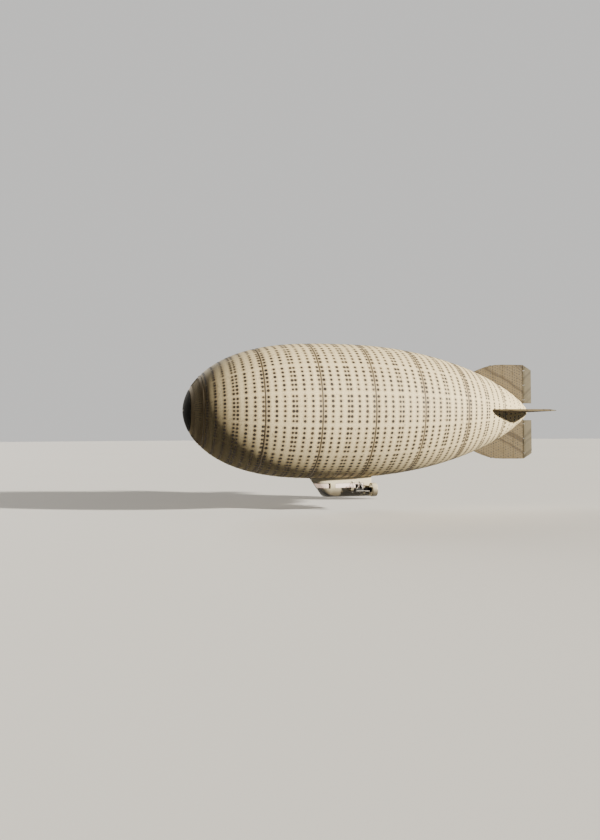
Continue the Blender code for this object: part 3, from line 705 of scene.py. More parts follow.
def make_patches():
    graph, size = new_tree("envelope_patches", ["Patch radius", "Patch rise", "Pinch"])
    disc = patch_disc()
    line = graph.add("GeometryNodeMeshLine", None, {"Count": len(ring_stations) * PATCH_COUNT})
    number = index_term(graph)
    ring = graph.calc("FLOOR", number / PATCH_COUNT)
    slot_number = number - ring * PATCH_COUNT
    group = graph.calc("FLOOR", slot_number / PATCHES_IN_GROUP)
    in_group = (slot_number - group * PATCHES_IN_GROUP) * PATCH_PITCH + PATCH_START
    turn = (group + in_group) * (2 * math.pi / PATCH_GROUPS)
    station = ring_station_term(graph, ring)
    radius = skin_radius(graph, station, size["Pinch"])
    ahead = skin_radius(graph, station + SLOPE_STEP, size["Pinch"])
    behind = skin_radius(graph, station - SLOPE_STEP, size["Pinch"])
    slope = (ahead - behind) * (0.5 / SLOPE_STEP)
    side, up = graph.calc("SINE", turn), graph.calc("COSINE", turn)
    odd = graph.calc("MODULO", slot_number, 2.0) * graph.calc("GREATER_THAN", station, SPARSE_FROM)
    kept = graph.calc("LESS_THAN", odd, 0.5)
    placed = graph.add("GeometryNodeSetPosition", None, {
        "Geometry": line, "Position": graph.vector(at(station), side * radius, up * radius)})
    lean = graph.add("FunctionNodeAlignRotationToVector", {"axis": "Z"}, {
        "Vector": graph.vector(slope, side, up)})
    luck = graph.add("FunctionNodeRandomValue", {"data_type": "FLOAT"}, {
        "Min": PATCH_SPREAD[0], "Max": PATCH_SPREAD[1], "Seed": PATCH_SEED})
    narrowing = graph.calc("MAXIMUM", (radius / HULL_RADIUS) ** NARROWING_POWER, NARROWEST)
    across = size["Patch radius"] * narrowing * Term(graph, luck.outputs[1])
    shape = graph.add("GeometryNodeObjectInfo", None, {"Object": disc})
    copies = graph.add("GeometryNodeInstanceOnPoints", None, {
        "Points": placed, "Selection": kept, "Instance": shape.outputs["Geometry"],
        "Rotation": lean, "Scale": graph.vector(across, across, size["Patch rise"])})
    close_tree(graph, copies, dark_patch)
    sizes = {"Patch radius": PATCH_RADIUS, "Patch rise": PATCH_RISE, "Pinch": SEAM_PINCH}
    piece = grow("envelope_patches", graph, sizes)
    bpy.data.objects.remove(disc)
    return settle(piece, "hull")


make_patches()

# %% [markdown]
# ## Ring seams
# Where two panels of the envelope meet, the overlap is taped and reads as a thin brown line right
# round the hull. Seven circles are scaled to the hull's radius and swept with a flat oval section.

# %% Lay the seam tapes
SEAM_TAPE_HALF_WIDTH = 0.070
SEAM_TAPE_RISE = 0.022
TAPE_SINK = 0.8


def make_seam_tape_finish():
    paint = Finish("seam_tape", Roughness=0.6)
    worn = paint.noise(0.9, 6.0, 0.6)
    paint.set(Base_Color=paint.mix(worn, (0.050, 0.037, 0.020), (0.125, 0.094, 0.054)))
    paint.bump(worn, 0.004)
    return paint.material


def make_seams():
    graph, size = new_tree("ring_seams", ["Half width", "Rise", "Pinch"])
    line = graph.add("GeometryNodeMeshLine", None, {"Count": SEAMS})
    station = FIRST_SEAM + index_term(graph) * PANEL_LENGTH
    radius = radius_term(graph, station) - TAPE_SINK * size["Pinch"]
    placed = graph.add("GeometryNodeSetPosition", None, {
        "Geometry": line, "Position": graph.vector(at(station), 0.0, 0.0)})
    hoop = graph.add("GeometryNodeCurvePrimitiveCircle", {"mode": "RADIUS"}, {
        "Resolution": HULL_COLUMNS, "Radius": 1.0})
    copies = graph.add("GeometryNodeInstanceOnPoints", None, {
        "Points": placed, "Instance": hoop, "Rotation": (0.0, math.pi / 2, 0.0),
        "Scale": graph.vector(radius, radius, radius)})
    real = graph.add("GeometryNodeRealizeInstances", None, {"Geometry": copies})
    section = graph.add("GeometryNodeCurvePrimitiveCircle", {"mode": "RADIUS"}, {
        "Resolution": 10, "Radius": 1.0})
    oval = graph.add("GeometryNodeTransform", None, {
        "Geometry": section, "Scale": graph.vector(size["Half width"], size["Rise"], 1.0)})
    swept = graph.add("GeometryNodeCurveToMesh", None, {
        "Curve": real, "Profile Curve": oval})
    close_tree(graph, swept, make_seam_tape_finish())
    sizes = {"Half width": SEAM_TAPE_HALF_WIDTH, "Rise": SEAM_TAPE_RISE, "Pinch": SEAM_PINCH}
    return settle(grow("ring_seams", graph, sizes), "hull")


make_seams()

# %% [markdown]
# ## Nose cap
# A moulded black shell covers the bow where the mooring mast takes hold. Its profile is turned about
# the ship's axis. It follows the hull a hand's breadth proud of the fabric and ends in a rolled lip
# with a row of screws, and a flat ring at the tip is the face that meets the mast.

# %% Turn the nose cap
CAP_PROUD = 0.022
MAST_FACE_RADIUS = 0.30
CAP_SCREWS = 36
CAP_STATIONS = [0.016, 0.03, 0.05, 0.08, 0.12, 0.17, 0.23, 0.30, 0.38, 0.46, 0.53]
SCREW_STATION = 0.49


def make_black_shell():
    paint = Finish("black_shell", Specular_IOR_Level=0.05)
    scuffs = paint.noise(3.0, 5.0, 0.6)
    grime = paint.noise(0.9, 3.0)
    paint.set(Roughness=0.62 + 0.22 * scuffs)
    tint = paint.mix(grime.above(0.5, 0.3) * 0.5, (0.004, 0.0038, 0.0036), (0.012, 0.010, 0.008))
    paint.set(Base_Color=tint)
    paint.bump(scuffs, 0.003)
    return paint.material


def steel_finish(name, light, dark, rough):
    paint = Finish(name, Metallic=1.0)
    brushed = paint.noise(45.0, 2.0)
    cloud = paint.noise(6.0, 3.0)
    paint.set(Base_Color=paint.mix(cloud, light, dark), Roughness=rough + 0.16 * brushed)
    paint.bump(brushed, 0.0006)
    return paint.material


black_shell = make_black_shell()
steel = steel_finish("steel", (0.50, 0.48, 0.45), (0.28, 0.26, 0.24), 0.24)


def offset_from_hull(station, distance):
    """The (station, radius) of a point at a distance straight out from the hull's profile."""
    slope = (hull_radius(station + 0.001) - hull_radius(station - 0.001)) * 500
    length = math.hypot(1, slope)
    return station - distance * slope / length, hull_radius(station) + distance / length


def make_nose_cap():
    form = Form(black_shell, steel)
    outside = [offset_from_hull(s, CAP_PROUD) for s in CAP_STATIONS]
    tip = [(-0.004, 0.05), (-0.004, 0.20), (-0.010, 0.215), (-0.020, 0.225),
           (-0.020, MAST_FACE_RADIUS - 0.02), (-0.016, MAST_FACE_RADIUS)]
    lip = [offset_from_hull(0.553, CAP_PROUD + 0.006), offset_from_hull(0.566, CAP_PROUD),
           offset_from_hull(0.570, 0.004)]
    inside = [offset_from_hull(s, -0.02) for s in (0.50, 0.30, 0.10)] + [(0.06, 0.3), (0.06, 0.05)]
    form.turned(tip + outside + lip + inside, 96, hoop=True)
    form.finish = 1
    station, radius = offset_from_hull(SCREW_STATION, CAP_PROUD)
    for y, z in arc(1.0, CAP_SCREWS):
        form.spun((station, y * (radius - 0.004), z * (radius - 0.004)), (0.55, y, z),
                  [(0.0, 0.016), (0.007, 0.015), (0.010, 0.010)], 8)
    form.spun((-0.006, 0, 0), (1, 0, 0), [(0.0, 0.12), (-0.004, 0.115), (-0.008, 0.09)], 32)
    return settle(form.object("nose_cap_shell"), "hull", ["nose_cap"])


make_nose_cap()

# %% [markdown]
# ## Nose battens
# A blunt fabric nose caves in at speed unless something stiffens it. Thin battens, laced on side by
# side just behind the cap, carry the load back into the cloth. They repeat round the axis, so
# Geometry Nodes lay one short line per batten along the hull's profile and sweep it.

# %% Lay the battens
BATTENS = 84
BATTEN_POINTS = 8
BATTEN_RADIUS = 0.016
BATTEN_REACH = (0.80, 1.42)
BATTEN_SINK = 0.3


def make_battens():
    graph, size = new_tree("nose_battens", ["First station", "Last station", "Batten radius"])
    line = graph.add("GeometryNodeMeshLine", None, {"Count": BATTENS * BATTEN_POINTS})
    number = index_term(graph)
    batten = graph.calc("FLOOR", number / BATTEN_POINTS)
    step = number - batten * BATTEN_POINTS
    reach = size["Last station"] - size["First station"]
    station = size["First station"] + reach * step / (BATTEN_POINTS - 1)
    turn = (batten + 0.5) * (2 * math.pi / BATTENS)
    radius = radius_term(graph, station) + BATTEN_SINK * size["Batten radius"]
    side, up = graph.calc("SINE", turn), graph.calc("COSINE", turn)
    placed = graph.add("GeometryNodeSetPosition", None, {
        "Geometry": line, "Position": graph.vector(at(station), side * radius, up * radius)})
    points = graph.add("GeometryNodeMeshToPoints", None, {0: placed})
    lines = graph.add("GeometryNodePointsToCurves", None, {
        "Points": points, "Curve Group ID": batten})
    section = graph.add("GeometryNodeCurvePrimitiveCircle", {"mode": "RADIUS"},
                        {"Resolution": 6, "Radius": size["Batten radius"]})
    swept = graph.add("GeometryNodeCurveToMesh", None, {
        "Curve": lines, "Profile Curve": section, "Fill Caps": True})
    close_tree(graph, swept, dark_patch)
    first, last = BATTEN_REACH
    sizes = {"First station": first, "Last station": last, "Batten radius": BATTEN_RADIUS}
    return settle(grow("nose_battens", graph, sizes), "hull")


make_battens()

# %% [markdown]
# ## Tail cloth
# Fins and flaps are light frames covered in doped cloth. It is browner than the envelope, with darker
# bands that run down and aft where the dope was brushed on, and it has faded on the flaps. One slanting
# coordinate, made of the station and the height, carries the bands across all four surfaces.

# %% Paint the tail
def tail_cloth(name, light, dark, band_strength, slant):
    paint = Finish(name, Specular_IOR_Level=0.18)
    x, y, z = paint.split(paint.position)
    wander = paint.noise(0.25, 3.0)
    band_place = (z + y) * 0.95 - (BUOYANCY_STATION - x) * slant + wander * 1.3
    stripe = paint.noise(1.0, 4.0, 0.7, paint.vector(band_place, 0.0, 0.0))
    fine = paint.noise(1.5, 5.0, 0.6)
    grain = paint.noise(6.0, 2.0)
    base = paint.mix(stripe.above(0.49, 0.09) * band_strength, light, dark)
    base = paint.mix(fine.above(0.52, 0.20) * 0.28, base, dark)
    base = paint.mix(grain.above(0.62, 0.10) * 0.25, base, BROWN)
    paint.set(Base_Color=base, Roughness=0.55 + 0.2 * fine)
    paint.bump(fine * 0.5 + grain * 0.1, 0.004)
    return paint.material


tail_skin = tail_cloth("tail_skin", (0.150, 0.112, 0.057), (0.056, 0.038, 0.018), 0.85, -0.55)
flap_skin = tail_cloth("flap_skin", (0.125, 0.104, 0.062), (0.062, 0.050, 0.030), 0.70, 0.8)
print("tail cloths:", tail_skin.name, flap_skin.name)

# %% [markdown]
# ## Fins
# Four fins stand on the tail, each a flat frame with a rounded rim and three steel lugs that carry the
# hinge. They differ only by a quarter turn, so one is built upright, with its span along Z, and turned.
# Cloth tapes over the ribs and a row of small patches finish both sides.

# %% Build one fin upright
HINGE_STATION = 38.32
FIN_HALF = 0.10
FIN_REAR = HINGE_STATION - 0.12
FIN_TIP = 5.30
FIN_EDGE = [(31.6, 4.18), (32.5, 4.60), (33.55, 4.98), (34.5, 5.20), (35.6, 5.28)]
FIN_ROOT_STATIONS = [38.15, 37.4, 36.4, 35.4, 34.4, 33.4, 32.4, 31.75]
FIN_ROOT_SUNK = 0.12
TAPE_RADIUS = 0.010
LUG_SPANS = (1.35, 3.00, 4.65)
LUG_EYE_RADIUS = 0.060
LUG_BORE_RADIUS = 0.0307
LUG_HALF = 0.025
FIN_TURNS = {"upper": 0, "port": -90, "lower": 180, "starboard": 90}
RIB_STATIONS = [33.2, 34.45, 35.7, 36.95]


def turn_about_axis(piece, degrees):
    piece.data.transform(Matrix.Rotation(math.radians(degrees), 4, "X"))
    return piece


def fin_top(station):
    """Span of the fin's outer edge at a station."""
    row = FIN_EDGE + [(FIN_REAR, FIN_TIP)]
    for (s0, z0), (s1, z1) in zip(row, row[1:]):
        if station <= s1:
            return z0 + (z1 - z0) * (station - s0) / (s1 - s0)
    return FIN_TIP


def make_fin_form():
    form = Form(tail_skin, steel, dark_patch)
    edge = [(p.x, p.y) for p in eased([(s, z, 0) for s, z in FIN_EDGE], 4)]
    root = [(s, hull_radius(s) - FIN_ROOT_SUNK) for s in FIN_ROOT_STATIONS]
    root[0] = (FIN_REAR, root[0][1])
    outline = edge + [(FIN_REAR, FIN_TIP)] + root
    form.slab(outline, -FIN_HALF, FIN_HALF, ease=0.065, steps=4)
    for face in (-FIN_HALF - 0.001, FIN_HALF + 0.001):
        for s in RIB_STATIONS:
            form.rod([(s, face, hull_radius(s) - 0.05), (s, face, fin_top(s) - 0.07)], 0.012, 6)
        rim = [(s + 0.02, face, z - 0.09) for s, z in edge[1:]]
        form.rod(rim + [(FIN_REAR - 0.09, face, FIN_TIP - 0.09)], TAPE_RADIUS, 6)
        form.rod([(FIN_REAR - 0.09, face, z) for z in (1.2, 5.2)], TAPE_RADIUS, 6)
    form.finish = 2
    form.slab([(FIN_REAR + 0.004, 0.75), (FIN_REAR - 0.02, 0.75), (FIN_REAR - 0.02, FIN_TIP - 0.02),
               (FIN_REAR + 0.004, FIN_TIP - 0.02)], -FIN_HALF + 0.012, FIN_HALF - 0.012)
    form.finish = 1
    for span in LUG_SPANS:
        low, high = span - LUG_HALF, span + LUG_HALF
        rings = []
        for radius, z in ((LUG_EYE_RADIUS, low), (LUG_EYE_RADIUS, high),
                          (LUG_BORE_RADIUS, high), (LUG_BORE_RADIUS, low)):
            rings.append([(HINGE_STATION + a, b, z) for a, b in arc(radius, 24)])
        form.skin(rings, hoop=True)
        form.block((FIN_REAR - 0.03, -0.035, low), (HINGE_STATION - 0.045, 0.035, high), 0.004, 1)
        form.block((FIN_REAR - 0.02, -0.07, span - 0.06), (FIN_REAR + 0.012, 0.07, span + 0.06), 0.004, 1)
    return form


for place, degrees in FIN_TURNS.items():
    fin = turn_about_axis(make_fin_form().object("fin_" + place + "_skin"), degrees)
    settle(fin, "hull", ["fin_" + place])

# %% [markdown]
# ## Small patches on the fins
# The fins carry finer patches than the envelope, in slanting rows. A grid of points covers the fin's
# plane, each point is cast onto the finished fin, and those that miss it are dropped, so the rows
# follow whatever outline the fin has.

# %% Scatter the patches by casting points on the fin
FIN_PATCH_PITCH = 0.28
FIN_PATCH_RADIUS = 0.078
FIN_PATCH_SPREAD = (0.6, 1.15)
FIN_PATCH_SEED = 5
FIN_PATCH_SLANT = 0.32
GRID_LENGTH, GRID_SPAN = 7.0, 7.6
GRID_STATION, GRID_HEIGHT = 34.9, 3.4
CLEAR_OF_HULL = 0.08


def make_fin_patch_tree(target):
    """One side's patches; the points start a metre out and are cast back onto the fin."""
    graph, size = new_tree("fin_patches", ["Patch radius", "Side", "Slant"])
    grid = graph.add("GeometryNodeMeshGrid", None, {
        "Size X": GRID_LENGTH, "Vertices X": int(GRID_LENGTH / FIN_PATCH_PITCH),
        "Size Y": GRID_SPAN, "Vertices Y": int(GRID_SPAN / FIN_PATCH_PITCH)})
    x, y, _ = graph.split(graph.add("GeometryNodeInputPosition"))
    height = y + GRID_HEIGHT + x * size["Slant"]
    laid = graph.add("GeometryNodeSetPosition", None, {
        "Geometry": grid, "Position": graph.vector(x + at(GRID_STATION), size["Side"], height)})
    cast = graph.add("GeometryNodeRaycast", None, {
        "Target Geometry": graph.add("GeometryNodeObjectInfo", None, {"Object": target}).outputs["Geometry"],
        "Ray Direction": graph.vector(0.0, size["Side"] * -1.0, 0.0), "Ray Length": 0.93})
    flat = abs(graph.split(cast.outputs["Hit Normal"])[1])
    kept = graph.calc("GREATER_THAN", flat, 0.99) * Term(graph, cast.outputs["Is Hit"])
    missed = graph.calc("LESS_THAN", kept, 0.5)
    hit_x, _, hit_z = graph.split(cast.outputs["Hit Position"])
    hull_top = radius_term(graph, BUOYANCY_STATION - hit_x) + CLEAR_OF_HULL
    dropped = graph.calc("MAXIMUM", missed, graph.calc("LESS_THAN", hit_z, hull_top))
    landed = graph.add("GeometryNodeSetPosition", None, {
        "Geometry": laid, "Position": cast.outputs["Hit Position"]})
    kept_points = graph.add("GeometryNodeDeleteGeometry", {"domain": "POINT"}, {
        "Geometry": landed, "Selection": dropped})
    disc = graph.add("GeometryNodeMeshCone", None, {
        "Vertices": 7, "Radius Top": 0.8, "Radius Bottom": 1.0, "Depth": 0.05})
    luck = graph.add("FunctionNodeRandomValue", {"data_type": "FLOAT"}, {
        "Min": FIN_PATCH_SPREAD[0], "Max": FIN_PATCH_SPREAD[1], "Seed": FIN_PATCH_SEED})
    across = size["Patch radius"] * Term(graph, luck.outputs[1])
    lean = graph.add("FunctionNodeAlignRotationToVector", {"axis": "Z"}, {
        "Vector": graph.vector(0.0, size["Side"], 0.0)})
    copies = graph.add("GeometryNodeInstanceOnPoints", None, {
        "Points": kept_points, "Instance": disc, "Rotation": lean,
        "Scale": graph.vector(across, across, 0.12)})
    close_tree(graph, copies, dark_patch)
    return graph


def grow_fin_patches(target):
    merged = bmesh.new()
    for side in (-1.0, 1.0):
        sizes = {"Patch radius": FIN_PATCH_RADIUS, "Side": side, "Slant": FIN_PATCH_SLANT}
        half = grow("half", make_fin_patch_tree(target), sizes)
        merged.from_mesh(half.data)
        bpy.data.objects.remove(half)
    mesh = as_mesh("fin_patches", merged)
    mesh.materials.append(dark_patch)
    return mesh


upright_fin = make_fin_form().object("upright_fin")
upright_patches = grow_fin_patches(upright_fin)
bpy.data.objects.remove(upright_fin)
for place, degrees in FIN_TURNS.items():
    spots = stand("fin_" + place + "_patches", upright_patches.copy())
    settle(turn_about_axis(spots, degrees), "hull")

# %% [markdown]
# ## Rudders and elevators
# Each flap hinges on a long pin just behind its fin. It has a round nose centred on the pin, flat sides
# to a thin rear edge, notches that clear the fin's lugs, and tapes over its ribs. One is built upright
# like the fin, and each copy rides on its own body.

# %% Build one flap upright
FLAP_ROOT = 0.95
FLAP_CHORD = 1.01
FLAP_NOSE_RADIUS = 0.09
FLAP_TIP_AT_NOSE = 5.30
FLAP_TIP_AT_EDGE = 4.70
FLAP_EDGE_HALF = 0.030
FLAP_RIBS = (1.0, 2.2, 3.75, 4.66)
NOTCH_DEPTH = 0.075


def flap_section(station):
    """Half thickness of the flap at a station."""
    behind = station - HINGE_STATION
    if behind < 0:
        return math.sqrt(max(FLAP_NOSE_RADIUS ** 2 - behind ** 2, 0))
    return FLAP_NOSE_RADIUS + (FLAP_EDGE_HALF - FLAP_NOSE_RADIUS) * behind / FLAP_CHORD


def flap_tip(station):
    """Span of the flap's outer edge at a station."""
    nose = HINGE_STATION - FLAP_NOSE_RADIUS
    share = (station - nose) / (FLAP_CHORD + FLAP_NOSE_RADIUS)
    return FLAP_TIP_AT_NOSE + (FLAP_TIP_AT_EDGE - FLAP_TIP_AT_NOSE) * share


def make_flap_form():
    form = Form(flap_skin)
    nose = [(HINGE_STATION + FLAP_NOSE_RADIUS * math.cos(a), FLAP_NOSE_RADIUS * math.sin(a))
            for a in (math.radians(90 + 11.25 * k) for k in range(17))]
    edge = HINGE_STATION + FLAP_CHORD
    tail = [(edge - 0.02, -FLAP_EDGE_HALF), (edge - 0.005, -0.022), (edge, -0.008),
            (edge, 0.008), (edge - 0.005, 0.022), (edge - 0.02, FLAP_EDGE_HALF)]
    outline = nose + tail
    root = [(s, y, FLAP_ROOT) for s, y in outline]
    tip = [(s, y, flap_tip(s)) for s, y in outline]
    form.skin([root, tip])
    return form


def make_notch(span):
    notch = Form(dark_patch)
    notch.block((HINGE_STATION - 0.2, -0.15, span - 0.035), (HINGE_STATION + NOTCH_DEPTH, 0.15, span + 0.035))
    return notch.object("notch")


def make_flap_fittings(name):
    """Tapes over the flap's ribs and spar, and two ears round the pin at each lug."""
    form = Form(flap_skin, steel)
    for side in (-1, 1):
        for span in FLAP_RIBS:
            path = []
            for s in (HINGE_STATION + 0.02, HINGE_STATION + 0.35, HINGE_STATION + 0.68, HINGE_STATION + 0.97):
                path.append((s, side * (flap_section(s) + 0.001), min(span, flap_tip(s) - 0.05)))
            form.rod(path, 0.009, 6)
        spar = HINGE_STATION + 0.13
        form.rod([(spar, side * (flap_section(spar) + 0.001), z) for z in (1.0, 5.15)], 0.009, 6)
    form.finish = 1
    for span in LUG_SPANS:
        for z in (span - 0.046, span + 0.046):
            rows = [(HINGE_STATION + a, b) for a, b in arc(0.052, 20)]
            form.skin([[(s, y, z - 0.010) for s, y in rows], [(s, y, z + 0.010) for s, y in rows]])
            form.block((HINGE_STATION + 0.03, -0.094, z - 0.010), (HINGE_STATION + 0.12, 0.094, z + 0.010),
                       0.003, 1)
    return form.object(name)


FLAP_BODIES = {"upper": "rudder", "lower": "rudder", "port": "elevator", "starboard": "elevator"}
for place, degrees in FIN_TURNS.items():
    body = FLAP_BODIES[place] + "_" + place
    flap = carve(make_flap_form().object(body + "_skin"), *[make_notch(span) for span in LUG_SPANS])
    fittings = make_flap_fittings(body + "_fittings")
    settle(turn_about_axis(flap, degrees), body, [body])
    settle(turn_about_axis(fittings, degrees), body)

# %% [markdown]
# ## Hinge pins
# The pins stay as the model has them: a plain steel rod is what the real hinge has too. They only get
# the steel finish.

# %% Give the pins their steel
def dress(node, finish):
    """Put a finish on every slot of a node that stays."""
    for material_slot in frame["nodes"][node].material_slots:
        material_slot.material = finish


for place in FIN_TURNS:
    dress("hinge_pin_" + place, steel)
print(len(FIN_TURNS), "pins in", steel.name)

# %% [markdown]
# ## Gondola shell
# The cabin hangs right under the hull as one glossy moulding: a raked, half-elliptical bow, upright
# sides, a rounded bilge and a flat stern. Rings of the deck's outline, one above another, make the
# outside and the room inside. The room, the windows and the doorway are then carved out of it.

# %% Paint and glass for the gondola
CREAM_PAINT = (0.72, 0.64, 0.45)
AGED_PAINT = (0.62, 0.54, 0.38)
# Painted shade: the dark colour low on the wall and the black on the low bow stand in for the shade where the
# lower wall and the bow's underside turn away from the light.
LOW_WALL_SHADE = (0.075, 0.058, 0.034)
BOW_SHADE_BLACK = (0.014, 0.011, 0.009)
LOW_SHADE_TOP = -7.45
BOW_SHADE_FRONT_STATION = 14.15
BOW_SHADE_HEIGHT = -8.05


def make_cream_paint():
    """Gloss cream, with painted shade that darkens it below the windows and paints the low bow black up to a
    line that sweeps up to the stem.
    """
    paint = Finish("cream_paint", Coat_Roughness=0.05, Specular_IOR_Level=0.35)
    x, y, z = paint.split(paint.position)
    flow = paint.noise(1.4, 4.0, 0.6, paint.vector(x, y, z * 0.35))
    dust = paint.noise(2.6, 5.0, 0.65)
    # Painted shade: the wall darkens from under the windows down to the bilge, as the light falls off there.
    painted_low_shade = (z - LOW_SHADE_TOP).below(0.0, 1.15)
    aged_and_shaded = paint.mix(flow.above(0.45, 0.3) * 0.30, CREAM_PAINT, AGED_PAINT)
    aged_and_shaded = paint.mix(painted_low_shade * (0.84 + 0.16 * dust), aged_and_shaded, LOW_WALL_SHADE)
    # Painted shade: below a line that sweeps up to the stem, the low bow is painted black.
    behind_stem = paint.calc("MAXIMUM", BUOYANCY_STATION - x - BOW_SHADE_FRONT_STATION, 0.0)
    bow_shade_top = BOW_SHADE_HEIGHT - 0.60 * paint.calc("SQRT", behind_stem)
    aged_and_shaded = paint.mix((z - bow_shade_top).below(0.0, 0.10) * 0.95, aged_and_shaded, BOW_SHADE_BLACK)
    aged_and_shaded = paint.mix(dust.above(0.66, 0.08) * 0.25, aged_and_shaded, BROWN)
    paint.set(Base_Color=aged_and_shaded, Roughness=0.16 + 0.16 * dust)
    paint.set(Coat_Weight=0.32 - 0.2 * dust)
    paint.bump(flow + dust * 0.12, 0.003)
    return paint.material


def make_glass():
    """Half-clear glass, painted pinkish white, with a faint glow of its own; both are a painted reflection of
    the bright sky the panes mirror.
    """
    paint = Finish("window_glass", Coat_Weight=0.8, Coat_Roughness=0.02, Emission_Strength=0.55)
    haze_and_glow = paint.noise(1.1, 3.0)
    smears = paint.noise(5.0, 4.0, 0.6)
    # Painted reflection: the pinkish white colour and the glow stand in for the bright sky in the panes.
    paint.set(Base_Color=paint.mix(haze_and_glow, (0.92, 0.78, 0.69), (1.0, 0.90, 0.81)))
    paint.set(Emission_Color=paint.mix(haze_and_glow, (0.70, 0.46, 0.36), (1.0, 0.80, 0.66)))
    paint.set(Roughness=0.03 + 0.08 * smears)
    paint.set(Alpha=0.60 + 0.30 * haze_and_glow)
    paint.bump(smears, 0.0006)
    return paint.material


def make_rubber(name, color):
    paint = Finish(name)
    dust = paint.noise(16.0, 3.0)
    tint = tuple(c * 2.6 for c in color)
    paint.set(Base_Color=paint.mix(dust.above(0.5, 0.3) * 0.6, color, tint), Roughness=0.55 + 0.25 * dust)
    paint.bump(dust, 0.001)
    return paint.material


cream_paint = make_cream_paint()
glass = make_glass()
rubber = make_rubber("seal_rubber", (0.016, 0.014, 0.012))
print("gondola finishes:", cream_paint.name, glass.name, rubber.name)

# %% Sizes of the gondola
WALL = 0.06
HALF_BEAM = 1.05
BOW_STATION = 15.0
STERN_STATION = 19.5
STERN_CORNER = 0.12
BELLY = -8.97
FLOOR = -8.87
CEILING = -7.25
WALL_FOOT = -8.05
BILGE_TOP = -8.55
WINDOW_TOP = -7.50
WINDOW_FOOT = -7.98
WINDOW_CORNER = 0.10
MULLION_HALF = 0.04
WINDSHIELD_END = 14.93
PORT_WINDOW = (15.51, 18.60)
STARBOARD_WINDOW = (16.62, 18.60)
DOORWAY = (15.55, 16.45)
DOOR_TOP = -7.33
DOOR_FOOT = -8.49
DOOR_WINDOW = (15.70, 16.30)
STEM_FOOT_STATION = 14.17
STEM_RAKE = 0.714
BILGE = [(BILGE_TOP, 0.0, STEM_FOOT_STATION), (-8.64, 0.022, 14.225), (-8.72, 0.06, 14.30),
         (-8.80, 0.12, 14.37), (-8.86, 0.20, 14.45), (-8.90, 0.30, 14.53), (-8.93, 0.42, 14.62),
         (-8.955, 0.52, 14.71), (BELLY, 0.60, 14.80)]


def bow_front(height):
    """Station of the raked stem at a height."""
    return STEM_FOOT_STATION - STEM_RAKE * (height - BILGE_TOP)


def deck_outline(half_width, front, stern, steps=28, corner=STERN_CORNER):
    """(station, y) points round the deck: starboard quarter, bow, port quarter, stern."""
    length = BOW_STATION - front
    bow = []
    for k in range(steps + 1):
        a = math.pi * (k / steps - 0.5)
        bow.append((BOW_STATION - length * math.cos(a), half_width * math.sin(a)))
    port = [(stern - corner + corner * math.sin(a), half_width - corner + corner * math.cos(a))
            for a in (math.radians(15 * k) for k in range(7))]
    starboard = [(s, -y) for s, y in reversed(port)]
    return bow + port + starboard


def deck_rings(rows, stern, corner=STERN_CORNER):
    """Rings from (height, half width, front station) rows."""
    return [[(s, y, z) for s, y in deck_outline(half, front, stern, corner=corner)]
            for z, half, front in rows]


def rounded_box(s0, s1, z0, z1, corner, steps=5, square_front=False):
    """Outline of a window as (station, z), with rounded corners."""
    points = []
    for cs, cz, start in ((s1 - corner, z1 - corner, 0), (s0 + corner, z1 - corner, 90),
                          (s0 + corner, z0 + corner, 180), (s1 - corner, z0 + corner, 270)):
        if square_front and start in (90, 180):
            points.append((s0, z1 if start == 90 else z0))
            continue
        for k in range(steps + 1):
            a = math.radians(start + 90 * k / steps)
            points.append((cs + corner * math.cos(a), cz + corner * math.sin(a)))
    return points


def cutter(outline, y0, y1):
    """A block to carve with, from an outline of (station, z)."""
    form = Form(cream_paint)
    form.slab(outline, y0, y1)
    return form.object("cutter")


print("bow at floor", round(bow_front(BILGE_TOP), 2), "and under the hull", round(bow_front(-6.8), 2))

# %% Loft the shell and carve it
WALL_HEIGHTS = [-6.80, -7.0, -7.25, -7.50, -7.75, WALL_FOOT, -8.3, -8.48]
DOOR_GAP = 0.01


def make_gondola():
    outer = [(z, HALF_BEAM, bow_front(z)) for z in WALL_HEIGHTS]
    outer += [(z, HALF_BEAM - inset, front) for z, inset, front in BILGE]
    shell = Form(cream_paint)
    shell.skin(deck_rings(outer, STERN_STATION))
    shell = shell.object("gondola_shell")
    inner = [(z, HALF_BEAM - WALL, bow_front(z) + WALL) for z in (CEILING, WALL_FOOT)]
    inner += [(-8.50, HALF_BEAM - WALL, 14.27), (-8.70, 0.93, 14.40), (FLOOR, 0.76, 14.64)]
    room = Form(cream_paint)
    room.skin(deck_rings(inner, STERN_STATION - WALL, 0.05))
    cutters = [room.object("room")]
    cutters.append(cutter(rounded_box(*PORT_WINDOW, WINDOW_FOOT, WINDOW_TOP, WINDOW_CORNER), 0.9, 1.2))
    cutters.append(cutter(rounded_box(*STARBOARD_WINDOW, WINDOW_FOOT, WINDOW_TOP, WINDOW_CORNER), -1.2, -0.9))
    doorway = rounded_box(*DOORWAY, DOOR_FOOT - DOOR_GAP, DOOR_TOP + DOOR_GAP, 0.03)
    cutters.append(cutter(doorway, -1.2, -0.85))
    for side in (1, -1):
        front = rounded_box(12.5, WINDSHIELD_END, WINDOW_FOOT, WINDOW_TOP, 0.09, square_front=True)
        cutters.append(cutter(front, side * MULLION_HALF, side * 1.3))
    shell = carve(shell, *cutters)
    return settle(shell, "hull",
                  ["saddle", "tub", "bow_frame", "side_port", "side_starboard", "transom"], 28)


make_gondola()

# %% [markdown]
# ## Windows
# Two curved panes meet at a slim mullion on the bow, and one long pane lights each side. Seen from
# outside the real ones are almost white with the sky in them, so the glass is painted bright and a
# little pink and given a faint glow, a painted reflection of that sky, and it is half clear. Each pane
# sits a little way in from the wall, in a rubber seal. The bow's surface is a formula, so panes and
# seals are worked out from it and fit without being bent.

